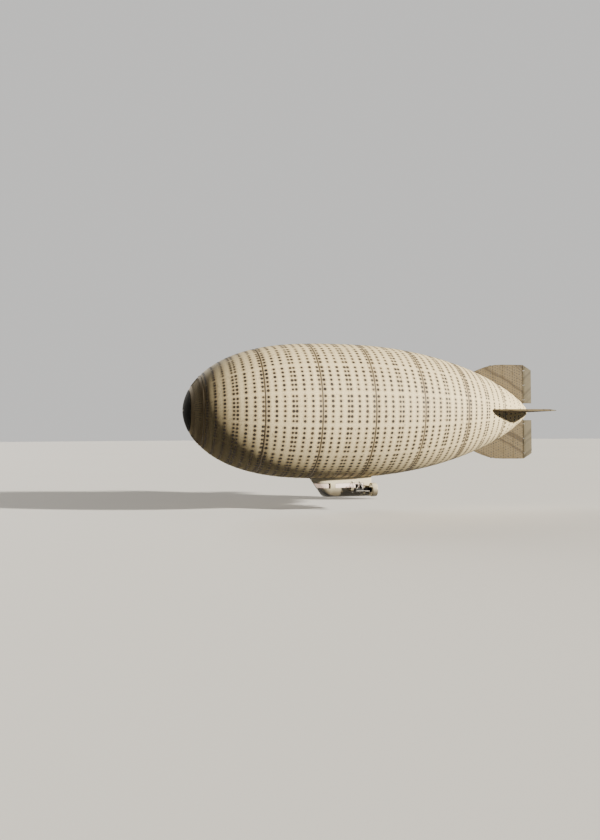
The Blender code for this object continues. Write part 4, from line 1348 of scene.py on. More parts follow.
# %% Cut the panes and run a seal round each
SEAL_RADIUS = 0.011
PANE_INSET = 0.02
PANE_THICKNESS = 0.01
PANE_LAP = 0.012
PANE_STEPS = 24
WINDOW_MIDDLE = -7.74


def on_bow(y, height, inset=0.0):
    """The point of the bow's surface at a distance y from the centre line."""
    half = HALF_BEAM - inset
    front = bow_front(height) + inset
    return BOW_STATION - (BOW_STATION - front) * math.sqrt(max(1 - (y / half) ** 2, 0)), y, height


def y_on_bow(station, height, inset=0.0):
    half = HALF_BEAM - inset
    front = bow_front(height) + inset
    return half * math.sqrt(max(1 - ((BOW_STATION - station) / (BOW_STATION - front)) ** 2, 0))


def make_windshield(name, side):
    form = Form(glass, side=side)
    rings = []
    half = HALF_BEAM - PANE_INSET
    first_turn = math.asin(0.025 / half)
    for height in (WINDOW_FOOT - 0.02, -7.86, WINDOW_MIDDLE, -7.62, WINDOW_TOP + 0.02):
        last_turn = math.asin(y_on_bow(WINDSHIELD_END + PANE_LAP, height, PANE_INSET) / half)
        turns = [first_turn + (last_turn - first_turn) * k / PANE_STEPS for k in range(PANE_STEPS + 1)]
        outside = [on_bow(half * math.sin(a), height, PANE_INSET) for a in turns]
        inside = [on_bow((half - PANE_THICKNESS) * math.sin(a), height, PANE_INSET + PANE_THICKNESS)
                  for a in turns]
        rings.append(outside + inside[::-1])
    form.skin(rings)
    return settle(form.object(name + "_pane"), "hull", [name])


def make_pane(name, y, stations, body):
    form = Form(glass)
    outline = rounded_box(stations[0] - PANE_LAP, stations[1] + PANE_LAP,
                          WINDOW_FOOT - PANE_LAP, WINDOW_TOP + PANE_LAP, 0.09)
    form.slab(outline, y, y - math.copysign(PANE_THICKNESS, y))
    return settle(form.object(name + "_pane"), body, [name])


def seal_path(side, stations, corner=WINDOW_CORNER):
    outline = rounded_box(*stations, WINDOW_FOOT, WINDOW_TOP, corner, steps=6)
    return [(s, side * (HALF_BEAM + 0.002), z) for s, z in outline]


def seal_edge(height, steps=20):
    """The top or foot of the windscreen's seal, from the mullion round the bow."""
    y_end = y_on_bow(WINDSHIELD_END - 0.09, height)
    return [on_bow(MULLION_HALF + (y_end - MULLION_HALF) * math.sin(math.pi / 2 * k / steps), height)
            for k in range(steps + 1)]


def windshield_path(side):
    end = []
    for k in range(1, 12):
        a = math.pi * (0.5 - k / 12)
        z = WINDOW_MIDDLE + math.copysign(min(abs(math.sin(a)) * 0.24 * 1.25, 0.24), math.sin(a))
        s = WINDSHIELD_END - 0.09 + 0.09 * math.cos(a)
        end.append((s, y_on_bow(s, z), z))
    return [(s, side * y, z) for s, y, z in seal_edge(WINDOW_TOP) + end + seal_edge(WINDOW_FOOT)[::-1]]


def make_seals():
    form = Form(rubber)
    form.rod(seal_path(1, PORT_WINDOW), SEAL_RADIUS, 8, closed=True)
    form.rod(seal_path(-1, STARBOARD_WINDOW), SEAL_RADIUS, 8, closed=True)
    for side in (1, -1):
        form.rod(windshield_path(side), SEAL_RADIUS, 8, closed=True)
    return settle(form.object("window_seals"), "hull")


make_windshield("windshield_port", 1)
make_windshield("windshield_starboard", -1)
make_pane("window_port", HALF_BEAM - PANE_INSET, PORT_WINDOW, "hull")
make_pane("window_starboard", PANE_INSET - HALF_BEAM, STARBOARD_WINDOW, "hull")
make_pane("window_door", PANE_INSET - HALF_BEAM, DOOR_WINDOW, "door_starboard")
make_seals()

# %% [markdown]
# ## Trim on the shell
# A lacing band closes the joint between the cabin and the hull; it is near black, which also paints the
# shade in that joint. A rub strip runs under the windows, a black strip on each side paints the shadow in
# the windscreen's rear reveal, and rows of rivets hold the panels.
# The rivets repeat along their rows, so Geometry Nodes set them at an even pitch.

# %% Lay the band, the strip and the painted reveal shadows
STRIP_HEIGHT = -8.10
STRIP_ENDS = {1: 17.5, -1: 15.50}
REVEAL_SHADOW_ROWS = 12


def hull_joint(y, station, out=0.0):
    """Height where the hull's underside meets an upright line at y."""
    return -math.sqrt(hull_radius(station) ** 2 - y * y) - out


def reveal_shadow_ring(side, k):
    """One of the level rings of the black strip that paints the reveal's shadow; its edges bow forwards at
    mid height.
    """
    share = k / REVEAL_SHADOW_ROWS
    z = WINDOW_FOOT - 0.035 + (WINDOW_TOP - WINDOW_FOOT + 0.07) * share
    bow = 0.045 * math.sin(math.pi * share)
    fore, aft = 14.79 + bow - 0.07 * share ** 6, 14.985 + 0.3 * bow
    stations = [fore + (aft - fore) * j / 5 for j in range(6)]
    outside = [(s, side * (y_on_bow(s, z) + 0.010), z) for s in stations]
    inside = [(s, side * (y_on_bow(s, z) - 0.004), z) for s in stations]
    return outside + inside[::-1]


def make_gondola_trim():
    form = Form(rubber, cream_paint, black_shell)
    deck = deck_outline(HALF_BEAM, bow_front(-6.95), STERN_STATION, 36)
    # Painted shade: the lacing band's near-black rubber also stands for the shade in the joint under the
    # hull.
    form.rod([(s, y * 1.004, hull_joint(y, s, 0.012)) for s, y in deck], 0.028, 8, closed=True)
    form.finish = 1
    half_bow = deck_outline(HALF_BEAM, bow_front(STRIP_HEIGHT), STERN_STATION)[14:29]
    for side, end in STRIP_ENDS.items():
        strip = [(s, side * y, STRIP_HEIGHT) for s, y in half_bow + [(end, HALF_BEAM)]]
        form.rod(strip, 0.014, 8)
    # Painted shadow: a black strip on each side stands where the windscreen's rear reveal throws its shadow.
    form.finish = 2
    for side in (1, -1):
        form.skin([reveal_shadow_ring(side, k) for k in range(REVEAL_SHADOW_ROWS + 1)])
    return settle(form.object("gondola_trim"), "hull")


make_gondola_trim()

# %% Set the rivets
RIVET_PITCH = 0.11
RIVET_RADIUS = 0.009


def rivet_lines():
    """The two ends of each row of rivets."""
    lines = []
    for side in (1, -1):
        face = side * (HALF_BEAM + 0.001)
        for z in (-7.33, -8.20, -8.50):
            first = 16.52 if side < 0 and z < -7.3 else 15.05
            lines.append([(first, face, z), (STERN_STATION - 0.18, face, z)])
        for s in (17.0, 18.25):
            lines.append([(s, face, -8.22), (s, face, -8.48)])
        lines.append([(19.0, face, -7.35), (19.0, face, -8.48)])
    for z in (-7.35, -8.0, -8.5):
        lines.append([(STERN_STATION + 0.001, -0.85, z), (STERN_STATION + 0.001, 0.85, z)])
    return lines


def make_rivets():
    rows = bmesh.new()
    for line in rivet_lines():
        corners = [rows.verts.new((at(s), y, z)) for s, y, z in line]
        rows.edges.new(corners)
    seed = as_mesh("rivet_rows", rows)
    graph, size = new_tree("rivets", ["Pitch", "Rivet radius"])
    curves = graph.add("GeometryNodeMeshToCurve", None, {0: graph.entry})
    points = graph.add("GeometryNodeResampleCurve", {"mode": "LENGTH"}, {
        "Curve": curves, "Length": size["Pitch"]})
    head = graph.add("GeometryNodeMeshIcoSphere", None, {"Radius": 1.0, "Subdivisions": 1})
    copies = graph.add("GeometryNodeInstanceOnPoints", None, {
        "Points": points, "Instance": head,
        "Scale": graph.vector(size["Rivet radius"], size["Rivet radius"], size["Rivet radius"])})
    close_tree(graph, copies, cream_paint)
    sizes = {"Pitch": RIVET_PITCH, "Rivet radius": RIVET_RADIUS}
    return settle(grow("gondola_rivets", graph, sizes, seed), "hull")


make_rivets()

# %% [markdown]
# ## Door
# The starboard door opens forwards on two knuckles. It is a flat panel with eased edges, the same
# window as the cabin and a steel lever on a round plate. The whole of it rides on the door's body. The
# wall's hinge plates stay as modelled and get the steel finish.

# %% Hang the door
DOOR_AXIS = (15.55, -1.072)
DOOR_HINGE_HEIGHTS = (-7.42, -8.30)
DOOR_CORNER = 0.08
LEVER_STATION = 16.36
LEVER_HEIGHT = -8.10
KNUCKLE = [(0, 0.0), (0, 0.015), (0.003, 0.016), (0.057, 0.016), (0.06, 0.015), (0.06, 0.0)]


def make_door_panel():
    panel = Form(cream_paint)
    outline = rounded_box(DOORWAY[0] + DOOR_GAP, DOORWAY[1] - DOOR_GAP, DOOR_FOOT, DOOR_TOP, 0.025, steps=3)
    panel.slab(outline, -HALF_BEAM, -HALF_BEAM + 0.05, ease=0.005)
    opening = rounded_box(*DOOR_WINDOW, WINDOW_FOOT, WINDOW_TOP, DOOR_CORNER)
    panel = carve(panel.object("door_panel"), cutter(opening, -1.2, -0.9))
    return settle(panel, "door_starboard", ["door_starboard"])


def make_door_fittings():
    form = Form(steel, rubber)
    s, y = DOOR_AXIS
    for z in DOOR_HINGE_HEIGHTS:
        form.spun((s, y, z - 0.03), (0, 0, 1), KNUCKLE, 20)
        form.block((s + 0.008, y + 0.004, z - 0.026), (s + 0.15, y + 0.026, z + 0.026), 0.003, 1)
        for k in range(3):
            form.rivet((s + 0.05 + 0.035 * k, y + 0.004, z), (0, -1, 0), 8)
    plate = [(0, 0.030), (0.006, 0.030), (0.010, 0.024)]
    form.spun((LEVER_STATION, -HALF_BEAM, LEVER_HEIGHT), (0, -1, 0), plate, 24)
    form.rod([(LEVER_STATION, -1.055, LEVER_HEIGHT), (LEVER_STATION, -1.085, LEVER_HEIGHT)], 0.010)
    lever = [(LEVER_STATION + 0.005, -1.085, LEVER_HEIGHT), (16.30, -1.088, LEVER_HEIGHT),
             (16.24, -1.082, LEVER_HEIGHT - 0.005), (16.21, -1.076, LEVER_HEIGHT - 0.005)]
    form.rod(eased(lever, 4), 0.010)
    form.finish = 1
    form.rod(seal_path(-1, DOOR_WINDOW, DOOR_CORNER), 0.010, 8, closed=True)
    return settle(form.object("door_fittings"), "door_starboard")


make_door_panel()
make_door_fittings()
for hinge in ("door_hinge_upper", "door_hinge_lower"):
    dress(hinge, steel)

# %% [markdown]
# ## Seats
# Two crew seats stand behind the console and a bench fills the stern. Each is a steel frame with a
# thin shell and loose pads. A pad is stuffed cloth, so it is blown up like one: a rounded block is
# remeshed, a cloth simulation with a little pressure swells it, and piping is laid round its rim after.

# %% Swell a pad
PAD_VOXEL = 0.014
PAD_PRESSURE = 4.0
PAD_FRAMES = 20
PAD_SWELL_LIMIT = 0.024
SWELL_ROOM = 0.016
RIM_POINTS = 64
PIPING_RADIUS = 0.006
WEAVE_WAVES = 900.0


def make_seat_cloth():
    paint = Finish("seat_fabric", Roughness=0.85, Sheen_Weight=0.25)
    x, y, z = paint.split(paint.position)
    weave = paint.calc("SINE", x * WEAVE_WAVES) * paint.calc("SINE", (y + z) * WEAVE_WAVES)
    worn = paint.noise(10.0, 4.0)
    base = paint.mix(worn.above(0.45, 0.3), (0.135, 0.070, 0.038), (0.24, 0.145, 0.085))
    paint.set(Base_Color=paint.mix(0.5 + 0.35 * weave, base, (0.09, 0.048, 0.028)))
    paint.bump(weave * 0.4 + worn, 0.002)
    return paint.material


seat_fabric = make_seat_cloth()


def swell(form, name):
    """Blow a closed form up as stuffed cloth and keep how far each point moves within a limit."""
    pad = form.object(name)
    remesh = pad.modifiers.new("remesh", "REMESH")
    remesh.mode, remesh.voxel_size = "VOXEL", PAD_VOXEL
    start = worked_out(pad)
    pad.modifiers.clear()
    pad.data = start
    cloth = pad.modifiers.new("cloth", "CLOTH")
    cloth.settings.use_pressure = True
    cloth.settings.uniform_pressure_force = PAD_PRESSURE
    cloth.settings.effector_weights.gravity = 0.0
    cloth.point_cache.frame_start, cloth.point_cache.frame_end = 1, PAD_FRAMES
    for number in range(1, PAD_FRAMES + 1):
        bpy.context.scene.frame_set(number)
    ready = worked_out(pad)
    pad.modifiers.clear()
    bpy.context.scene.frame_set(1)
    for before, after in zip(start.vertices, ready.vertices):
        move = after.co - before.co
        after.co = before.co + move * min(1.0, PAD_SWELL_LIMIT / max(move.length, 1e-6))
    pad.data = ready
    shape = bmesh.new()
    shape.from_mesh(pad.data)
    for _ in range(3):
        bmesh.ops.smooth_vert(shape, verts=shape.verts, factor=0.5,
                              use_axis_x=True, use_axis_y=True, use_axis_z=True)
    shape.to_mesh(pad.data)
    shape.free()
    pad.data.materials.clear()
    pad.data.materials.append(seat_fabric)
    return pad


def find_rim(pad):
    """Points round a pad at mid height, found by looking in at it from all sides."""
    rim = []
    for x, y in arc(1.0, RIM_POINTS):
        inwards = Vector((-x, -y, 0.0))
        hit, point, _, _ = pad.ray_cast(-2 * inwards, inwards)
        if hit:
            rim.append((BUOYANCY_STATION - point.x, point.y, point.z))
    return rim


def make_pad(width, length, depth):
    """A pad lying flat at the origin, its rim piped. It starts smaller by the room it swells into."""
    form = Form(seat_fabric)
    half_length, half_width, half_depth = (size / 2 - SWELL_ROOM for size in (length, width, depth))
    outline = rounded_box(-half_length, half_length, -half_width, half_width, 0.05)
    rings = []
    for z, share in ((-half_depth, 0.93), (-depth / 4, 1.0), (depth / 4, 1.0), (half_depth, 0.93)):
        rings.append([(s * share + BUOYANCY_STATION, y * share, z) for s, y in outline])
    form.skin(rings)
    pad = swell(form, "pad")
    bpy.context.view_layer.update()
    piping = Form(seat_fabric)
    piping.rod(find_rim(pad), PIPING_RADIUS, 8, closed=True)
    cord = piping.object("piping")
    joined = bmesh.new()
    joined.from_mesh(pad.data)
    joined.from_mesh(cord.data)
    joined.to_mesh(pad.data)
    joined.free()
    bpy.data.objects.remove(cord)
    mesh = pad.data
    bpy.data.objects.remove(pad)
    return mesh


def place_pad(name, mesh, center, lean_degrees):
    """Set a copy of a pad in its seat, leaning back by some degrees."""
    pad = stand(name, mesh.copy())
    turn = Matrix.Rotation(math.radians(lean_degrees), 4, "Y")
    pad.data.transform(Matrix.Translation((at(center[0]), center[1], center[2])) @ turn)
    settle(pad, "hull", smooth_angle=60)
    return pad


# %% Frame the seats and lay the pads
# name: front station, middle, width, places
SEATS = {"seat_port": (15.15, 0.45, 0.50, 1), "seat_starboard": (15.15, -0.45, 0.50, 1),
         "bench_rear": (18.40, 0.0, 1.36, 2)}
BENCH_PITCH = 0.68
FRONT_LEG_AND_BACK = [(0.12, 0.012), (0.12, 0.20), (0.08, 0.345), (0.30, 0.35), (0.535, 0.36), (0.585, 0.50),
                      (0.695, 0.985)]
REAR_LEG = [(0.40, 0.012), (0.44, 0.345)]
SEAT_SHELLS = ([(0.03, 0.352), (0.53, 0.362), (0.53, 0.376), (0.03, 0.366)],
               [(0.59, 0.44), (0.700, 1.00), (0.686, 1.003), (0.576, 0.443)])
SEAT_TUBE_RADIUS = 0.013


def make_seat_frame(name, station, middle, width):
    """Tubes and shells from (distance aft of the seat's front, height over the floor) points."""
    form = Form(steel, black_shell)
    y0, y1 = middle - width / 2 + 0.03, middle + width / 2 - 0.03
    for y in (y0, y1):
        bent = [(station + s, y, FLOOR + z) for s, z in FRONT_LEG_AND_BACK]
        form.rod(eased(bent, 5), SEAT_TUBE_RADIUS, 12)
        form.rod([(station + s, y, FLOOR + z) for s, z in REAR_LEG], SEAT_TUBE_RADIUS, 12)
        for s in (0.12, 0.40):
            foot = [(0, 0.034), (0.008, 0.034), (0.012, 0.020)]
            form.spun((station + s, y, FLOOR + 0.001), (0, 0, 1), foot, 16)
    for s in (0.12, 0.41):
        form.rod([(station + s, y, FLOOR + 0.10) for y in (y0, y1)], 0.009, 10)
    form.finish = 1
    for shell in SEAT_SHELLS:
        form.slab([(station + s, FLOOR + z) for s, z in shell], y0 - 0.02, y1 + 0.02, 0.005)
    return settle(form.object(name + "_frame"), "hull", [name])


seat_pad = make_pad(0.50, 0.50, 0.13)
back_pad = make_pad(0.50, 0.54, 0.10)
bench_pad = make_pad(0.67, 0.50, 0.13)
bench_back = make_pad(0.67, 0.54, 0.10)
for name, (station, middle, width, count) in SEATS.items():
    make_seat_frame(name, station, middle, width)
    for k in range(count):
        y = middle + (k - (count - 1) / 2) * BENCH_PITCH
        flat, tall = (seat_pad, back_pad) if count == 1 else (bench_pad, bench_back)
        place_pad(f"{name}_pad_{k}", flat, (station + 0.275, y, FLOOR + 0.435), 1.5)
        place_pad(f"{name}_back_{k}", tall, (station + 0.587, y, FLOOR + 0.735), -79)

# %% [markdown]
# ## Console
# The pilot's console is a moulded desk with a sloping panel of round dials, a wheel on a column and
# two throttle levers. It is seen only through the windscreen, so its forms are plain but complete.

# %% Build the console
def make_dial_face():
    paint = Finish("dial_face", Roughness=0.35, Coat_Weight=0.8)
    tone = paint.noise(30.0, 2.0)
    paint.set(Base_Color=paint.mix(tone, (0.62, 0.58, 0.48), (0.50, 0.46, 0.37)))
    return paint.material


DESK = [(14.84, FLOOR + 0.002), (15.0, FLOOR + 0.002), (14.96, -8.30), (14.75, -8.10), (14.50, -8.12),
        (14.52, -8.2), (14.84, -8.45)]
PANEL_MIDDLE = Vector((14.855, 0.0, -8.20))
PANEL_OUT = Vector((0.20, 0, 0.21)).normalized()
PANEL_DOWN = Vector((0.21, 0, -0.20)).normalized()
DIAL_ROWS = ((-0.05, 7), (0.06, 5))
DIAL_PITCH = 0.13
DIAL_RIM = [(0, 0.044), (0.012, 0.042), (0.014, 0.036), (0.006, 0.034), (0.006, 0.0)]
WHEEL_HUB = Vector((15.10, 0.45, -8.20))
WHEEL_TILT = Vector((0.93, 0, 0.37))
WHEEL_RADIUS = 0.15
LEVER_KNOB = [(0, 0.006), (0.006, 0.015), (0.018, 0.019), (0.030, 0.015), (0.036, 0.004)]


def add_dials(form):
    for row, count in DIAL_ROWS:
        for k in range(count):
            across = Vector((0.0, (k - (count - 1) / 2) * DIAL_PITCH, 0.0))
            center = PANEL_MIDDLE + across + PANEL_DOWN * row + PANEL_OUT * 0.001
            form.finish = 1
            form.spun(center, PANEL_OUT, DIAL_RIM, 24)
            form.finish = 2
            form.spun(center, PANEL_OUT, [(0.0062, 0.033), (0.0075, 0.033)], 24)
            form.finish = 3
            needle = center + PANEL_OUT * 0.009
            form.rod([needle - PANEL_DOWN * 0.024, needle + PANEL_DOWN * 0.008], [0.0008, 0.0022], 6)


def add_wheel(form):
    across = Vector((0, 1, 0))
    up = WHEEL_TILT.cross(across)
    rim = [WHEEL_HUB + across * a + up * b for a, b in arc(WHEEL_RADIUS, 40)]
    form.rod(rim, 0.011, 10, closed=True)
    for a, b in arc(WHEEL_RADIUS, 3, math.pi / 2):
        form.rod([WHEEL_HUB, WHEEL_HUB + across * a + up * b], 0.007, 8)


def make_console():
    form = Form(black_shell, steel, make_dial_face(), rubber)
    form.slab(DESK, -0.5, 0.5, 0.018, 3)
    add_dials(form)
    form.finish = 1
    form.rod(eased([(14.92, 0.45, -8.36), (15.02, 0.45, -8.24), WHEEL_HUB], 4), 0.014, 12)
    for y in (-0.05, 0.05):
        form.rod([(14.66, y, -8.11), (14.69, y, -7.98)], 0.006, 8)
    form.finish = 3
    add_wheel(form)
    for y in (-0.05, 0.05):
        form.spun((14.69, y, -7.995), (0.2, 0, 1), LEVER_KNOB, 16)
    return settle(form.object("console_desk"), "hull", ["console"])


make_console()

# %% [markdown]
# ## Engine finishes
# The engine is cast iron under black enamel, worn to dark grey in patches. The pipes are chromed steel,
# a little blued and dulled where they run hot, and the propeller is dark lacquered wood.

# %% Mix the engine finishes
def make_engine_black():
    paint = Finish("engine_black", Metallic=0.25)
    cast = paint.noise(38.0, 3.0, 0.7)
    oil = paint.noise(5.0, 4.0)
    tint = paint.mix(oil.above(0.5, 0.25) * 0.6, (0.012, 0.011, 0.010), (0.050, 0.042, 0.034))
    paint.set(Base_Color=tint, Roughness=0.30 + 0.30 * oil)
    paint.bump(cast, 0.0015)
    return paint.material


def make_chrome():
    paint = Finish("chrome", Metallic=1.0)
    heat = paint.noise(3.0, 3.0)
    pits = paint.noise(30.0, 3.0)
    paint.set(Base_Color=paint.mix(heat.above(0.5, 0.3) * 0.5, (0.86, 0.85, 0.83), (0.66, 0.58, 0.47)))
    paint.set(Roughness=0.07 + 0.12 * pits)
    paint.bump(pits, 0.0003)
    return paint.material


def make_blade_lacquer():
    paint = Finish("blade_lacquer", Coat_Weight=0.6, Coat_Roughness=0.08)
    x, y, z = paint.split(paint.position)
    grain = paint.noise(14.0, 4.0, 0.6, paint.vector(x * 6.0, y, z))
    paint.set(Base_Color=paint.mix(grain, (0.050, 0.026, 0.013), (0.018, 0.010, 0.006)))
    paint.set(Roughness=0.28 + 0.15 * grain)
    paint.bump(grain, 0.0008)
    return paint.material


engine_black = make_engine_black()
chrome = make_chrome()
blade_lacquer = make_blade_lacquer()
print("engine finishes:", engine_black.name, chrome.name, blade_lacquer.name)

# %% [markdown]
# ## Engines
# A four-cylinder engine in V form stands on each outrigger: a ribbed crankcase with two pairs of
# air-cooled cylinders leaning outwards. Each cylinder is one turned profile, because its cooling fins
# are turned on a lathe in reality too. Rocker covers, bolts and plug leads finish it.

# %% Build an engine
CRANKCASE_LOW = (17.30, 1.684, -8.37)
CRANKCASE_HIGH = (18.25, 2.096, -7.97)
ENGINE_MIDDLE = 17.77
ENGINE_OUT = 1.89
SHAFT_HEIGHT = -8.17
CYLINDER_STATIONS = (17.56, 17.98)
CYLINDER_LEAN = math.radians(20)
COOLING_FINS = 9
ROCKER_ROWS = ((0.0, 0.052, 0.036), (0.025, 0.050, 0.034), (0.052, 0.040, 0.026), (0.060, 0.026, 0.014))
FRONT_COVER = [(0.0, 0.15), (0.02, 0.145), (0.035, 0.09), (0.075, 0.085), (0.085, 0.0)]
SIDES = {"port": 1, "starboard": -1}


def make_pairs(*rows):
    """Make each row's piece on both sides, such as engine_port_v4, which stands for engine_port."""
    for place, side in SIDES.items():
        for make, kind, end, slot in rows:
            node = kind + "_" + place
            body = node if node in frame["bodies"] else "hull"
            settle(make(side).object(node + "_" + end), body, [node])


def cylinder_profile():
    """(rise, radius) rows of a barrel, a stack of cooling fins and a head."""
    rows = [(0.0, 0.0), (0.0, 0.120), (0.045, 0.120), (0.050, 0.100), (0.085, 0.100)]
    for k in range(COOLING_FINS):
        rise = 0.10 + 0.036 * k
        reach = 0.132 - 0.010 * abs(k - 4) / 4
        rows += [(rise, 0.098), (rise + 0.002, reach), (rise + 0.010, reach), (rise + 0.014, 0.098)]
    return rows + [(0.425, 0.100), (0.430, 0.110), (0.460, 0.112), (0.465, 0.0)]


def add_cylinder(form, station, lean):
    lift = Vector((0, math.sin(lean), math.cos(lean)))
    base = Vector((station, ENGINE_OUT, CRANKCASE_HIGH[2] - 0.055))
    form.finish = 0
    form.spun(base, lift, cylinder_profile(), 28)
    across = Vector((0, lift.z, -lift.y))
    head = base + lift * 0.46
    for end in (-1, 1):
        rings = []
        for rise, half, deep in ROCKER_ROWS:
            center = head + lift * rise + Vector((end * 0.052, 0, 0))
            rings.append([center + Vector((a * deep / half, 0, 0)) + across * b for a, b in arc(half, 20)])
        form.skin(rings)
    form.finish = 1
    for a, b in arc(0.092, 6, 0.5):
        form.bolt(head + Vector((a, 0, 0)) + across * b, lift, 0.009, 0.010)
    out = across if lean > 0 else -across
    add_plug(form, base, base + lift * 0.40 + out * 0.10, out, lift)


def add_plug(form, base, plug, out, lift):
    """A spark plug and the lead that runs from it to the middle of the crankcase."""
    form.spun(plug, out + lift * 0.3, [(0, 0.012), (0.020, 0.012), (0.022, 0.007), (0.048, 0.006)], 8)
    form.finish = 2
    end = plug + (out + lift * 0.3).normalized() * 0.045
    lead = [end, end + out * 0.03 - lift * 0.05, Vector((ENGINE_MIDDLE, base.y + out.y * 0.16, -7.90)),
            Vector((ENGINE_MIDDLE, base.y + out.y * 0.10, -7.955))]
    form.rod(eased(lead, 5), 0.007, 6)


def make_engine(side):
    form = Form(engine_black, steel, rubber, side=side)
    form.block(CRANKCASE_LOW, CRANKCASE_HIGH, 0.035, 4)
    for s in (17.37, ENGINE_MIDDLE, 18.19):
        form.block((s - 0.010, 1.682, -8.372), (s + 0.010, 2.098, -7.966), 0.004, 1)
    form.block((17.40, 1.74, -8.400), (18.15, 2.04, -8.36), 0.015, 2)
    form.spun((17.31, ENGINE_OUT, SHAFT_HEIGHT), (-1, 0, 0), FRONT_COVER, 32)
    breather = [(0.0, 0.060), (0.055, 0.058), (0.075, 0.046), (0.080, 0.0)]
    form.spun((ENGINE_MIDDLE, ENGINE_OUT, -7.985), (0, 0, 1), breather, 24)
    for station in CYLINDER_STATIONS:
        for lean in (-CYLINDER_LEAN, CYLINDER_LEAN):
            add_cylinder(form, station, lean)
    form.finish = 1
    for s in (17.40, 17.58, 17.96, 18.14):
        for y in (1.71, 2.07):
            form.bolt((s, y, -7.972), (0, 0, 1), 0.010, 0.014)
    for y, z in arc(0.125, 8):
        form.bolt((17.296, ENGINE_OUT + y, SHAFT_HEIGHT + z), (-1, 0, 0), 0.009, 0.012)
    return form


make_pairs((make_engine, "engine", "v4", "engine_black"))

# %% [markdown]
# ## Pipes
# Two bright intake pipes meet at an air drum above each engine, and a chromed collector gathers the
# exhaust along its outer side and runs aft past the nacelle. Bends in real pipe are smooth, so a few
# knots are joined by an eased line before the pipe is swept along it.

# %% Bend the pipes
DRUM_OUT, DRUM_HEIGHT = 2.27, -7.46
DRUM_ROWS = ((-0.125, 0.055), (-0.120, 0.064), (0.120, 0.064), (0.125, 0.055))
PORT_REACHES = (-0.31, 0.31)
EXHAUST_HEIGHT = -8.22
EXHAUST_PORTS = (17.52, 17.98)
EXHAUST_KNOTS = [(17.415, 2.18, EXHAUST_HEIGHT), (17.44, 2.18, EXHAUST_HEIGHT), (18.02, 2.18, EXHAUST_HEIGHT),
                 (18.14, 2.205, -8.225), (18.28, 2.25, -8.235), (18.42, 2.27, -8.245), (18.80, 2.27, -8.27)]


def make_intake(side):
    form = Form(chrome, steel, side=side)
    drum = [(ENGINE_MIDDLE + s, DRUM_OUT, DRUM_HEIGHT) for s, _ in DRUM_ROWS]
    form.rod(drum, [radius for _, radius in DRUM_ROWS], 28)
    for reach in PORT_REACHES:
        knots = [(0.15, DRUM_OUT, DRUM_HEIGHT), (0.42, 2.262, -7.64), (0.80, 2.236, -7.87),
                 (0.97, 2.205, -7.995), (1.0, 2.165, -8.03), (1.0, 2.098, -8.03)]
        form.rod(eased([(ENGINE_MIDDLE + reach * share, y, z) for share, y, z in knots], 6), 0.0325, 20)
    form.finish = 1
    for s in (ENGINE_MIDDLE - 0.085, ENGINE_MIDDLE + 0.085):
        form.rod([(s - 0.008, DRUM_OUT, DRUM_HEIGHT), (s + 0.008, DRUM_OUT, DRUM_HEIGHT)], 0.0665, 28)
    for reach in PORT_REACHES:
        flange = [(0, 0.046), (0.012, 0.046), (0.014, 0.040)]
        form.spun((ENGINE_MIDDLE + reach, 2.092, -8.03), (0, 1, 0), flange, 20)
    return form


def make_exhaust(side):
    form = Form(chrome, steel, side=side)
    path = eased(EXHAUST_KNOTS, 5)
    radii = [0.040] + [0.049] * (len(path) - 1)
    form.rod(path, radii, 28)
    for station in EXHAUST_PORTS:
        stub = [(station, 2.098, EXHAUST_HEIGHT), (station, 2.13, EXHAUST_HEIGHT),
                (station + 0.01, 2.18, EXHAUST_HEIGHT)]
        form.rod(eased(stub, 3), 0.035, 18)
    form.finish = 1
    for station in EXHAUST_PORTS:
        flange = [(0, 0.050), (0.011, 0.050), (0.013, 0.042)]
        form.spun((station, 2.094, EXHAUST_HEIGHT), (0, 1, 0), flange, 20)
    form.rod([(18.775, 2.27, -8.2683), (18.803, 2.27, -8.2702)], 0.0525, 28)
    return form


make_pairs((make_intake, "intake", "pipes", "chrome"), (make_exhaust, "exhaust", "pipe", "chrome"))

# %% [markdown]
# ## Outriggers
# Steel tubes carry each engine off the cabin's wall: two A-frames and a brace, from bolted pads to a
# beam along the crankcase. The tubes end in flattened feet, which is how such frames are joined.

# %% Weld the outriggers
STRUT_STATIONS = (17.36, 18.16)
STRUT_HEIGHTS = ((-7.38, -8.16), (-8.42, -8.18))
STRUT_OUT = 1.63
STRUT_CAP = [(0, 0.034), (0.010, 0.034), (0.014, 0.026)]


def add_strut(form, station, height, foot):
    """A tube from a bolted pad on the cabin's wall out to the engine's beam."""
    form.block((station - 0.07, HALF_BEAM - 0.002, height - 0.075),
               (station + 0.07, HALF_BEAM + 0.022, height + 0.075), 0.006, 2)
    form.rod([(station, HALF_BEAM + 0.028, height), (station, STRUT_OUT, foot)], 0.025, 20)
    form.block((station - 0.012, HALF_BEAM + 0.018, height - 0.04),
               (station + 0.012, HALF_BEAM + 0.06, height + 0.04), 0.004, 1)
    for s in (station - 0.048, station + 0.048):
        for z in (height - 0.052, height + 0.052):
            form.bolt((s, HALF_BEAM + 0.02, z), (0, 1, 0), 0.010, 0.009)


def make_outrigger(side):
    form = Form(steel, side=side)
    form.block((17.30, 1.602, -8.21), (18.22, 1.682, -8.13), 0.012, 3)
    for station in STRUT_STATIONS:
        for height, foot in STRUT_HEIGHTS:
            add_strut(form, station, height, foot)
        form.spun((station, 1.598, SHAFT_HEIGHT), (0, -1, 0), STRUT_CAP, 16)
    (front, rear), (height, foot) = STRUT_STATIONS, STRUT_HEIGHTS[0]
    form.rod([(front, HALF_BEAM + 0.028, height), (rear, STRUT_OUT, foot)], 0.018, 16)
    return form


make_pairs((make_outrigger, "outrigger", "frame", "steel"))

# %% [markdown]
# ## Nacelles
# A black cowling fairs the gearbox between the engine and the propeller. It is a turned shell with
# two rolled bands, a row of louvres and rivets along its seams.

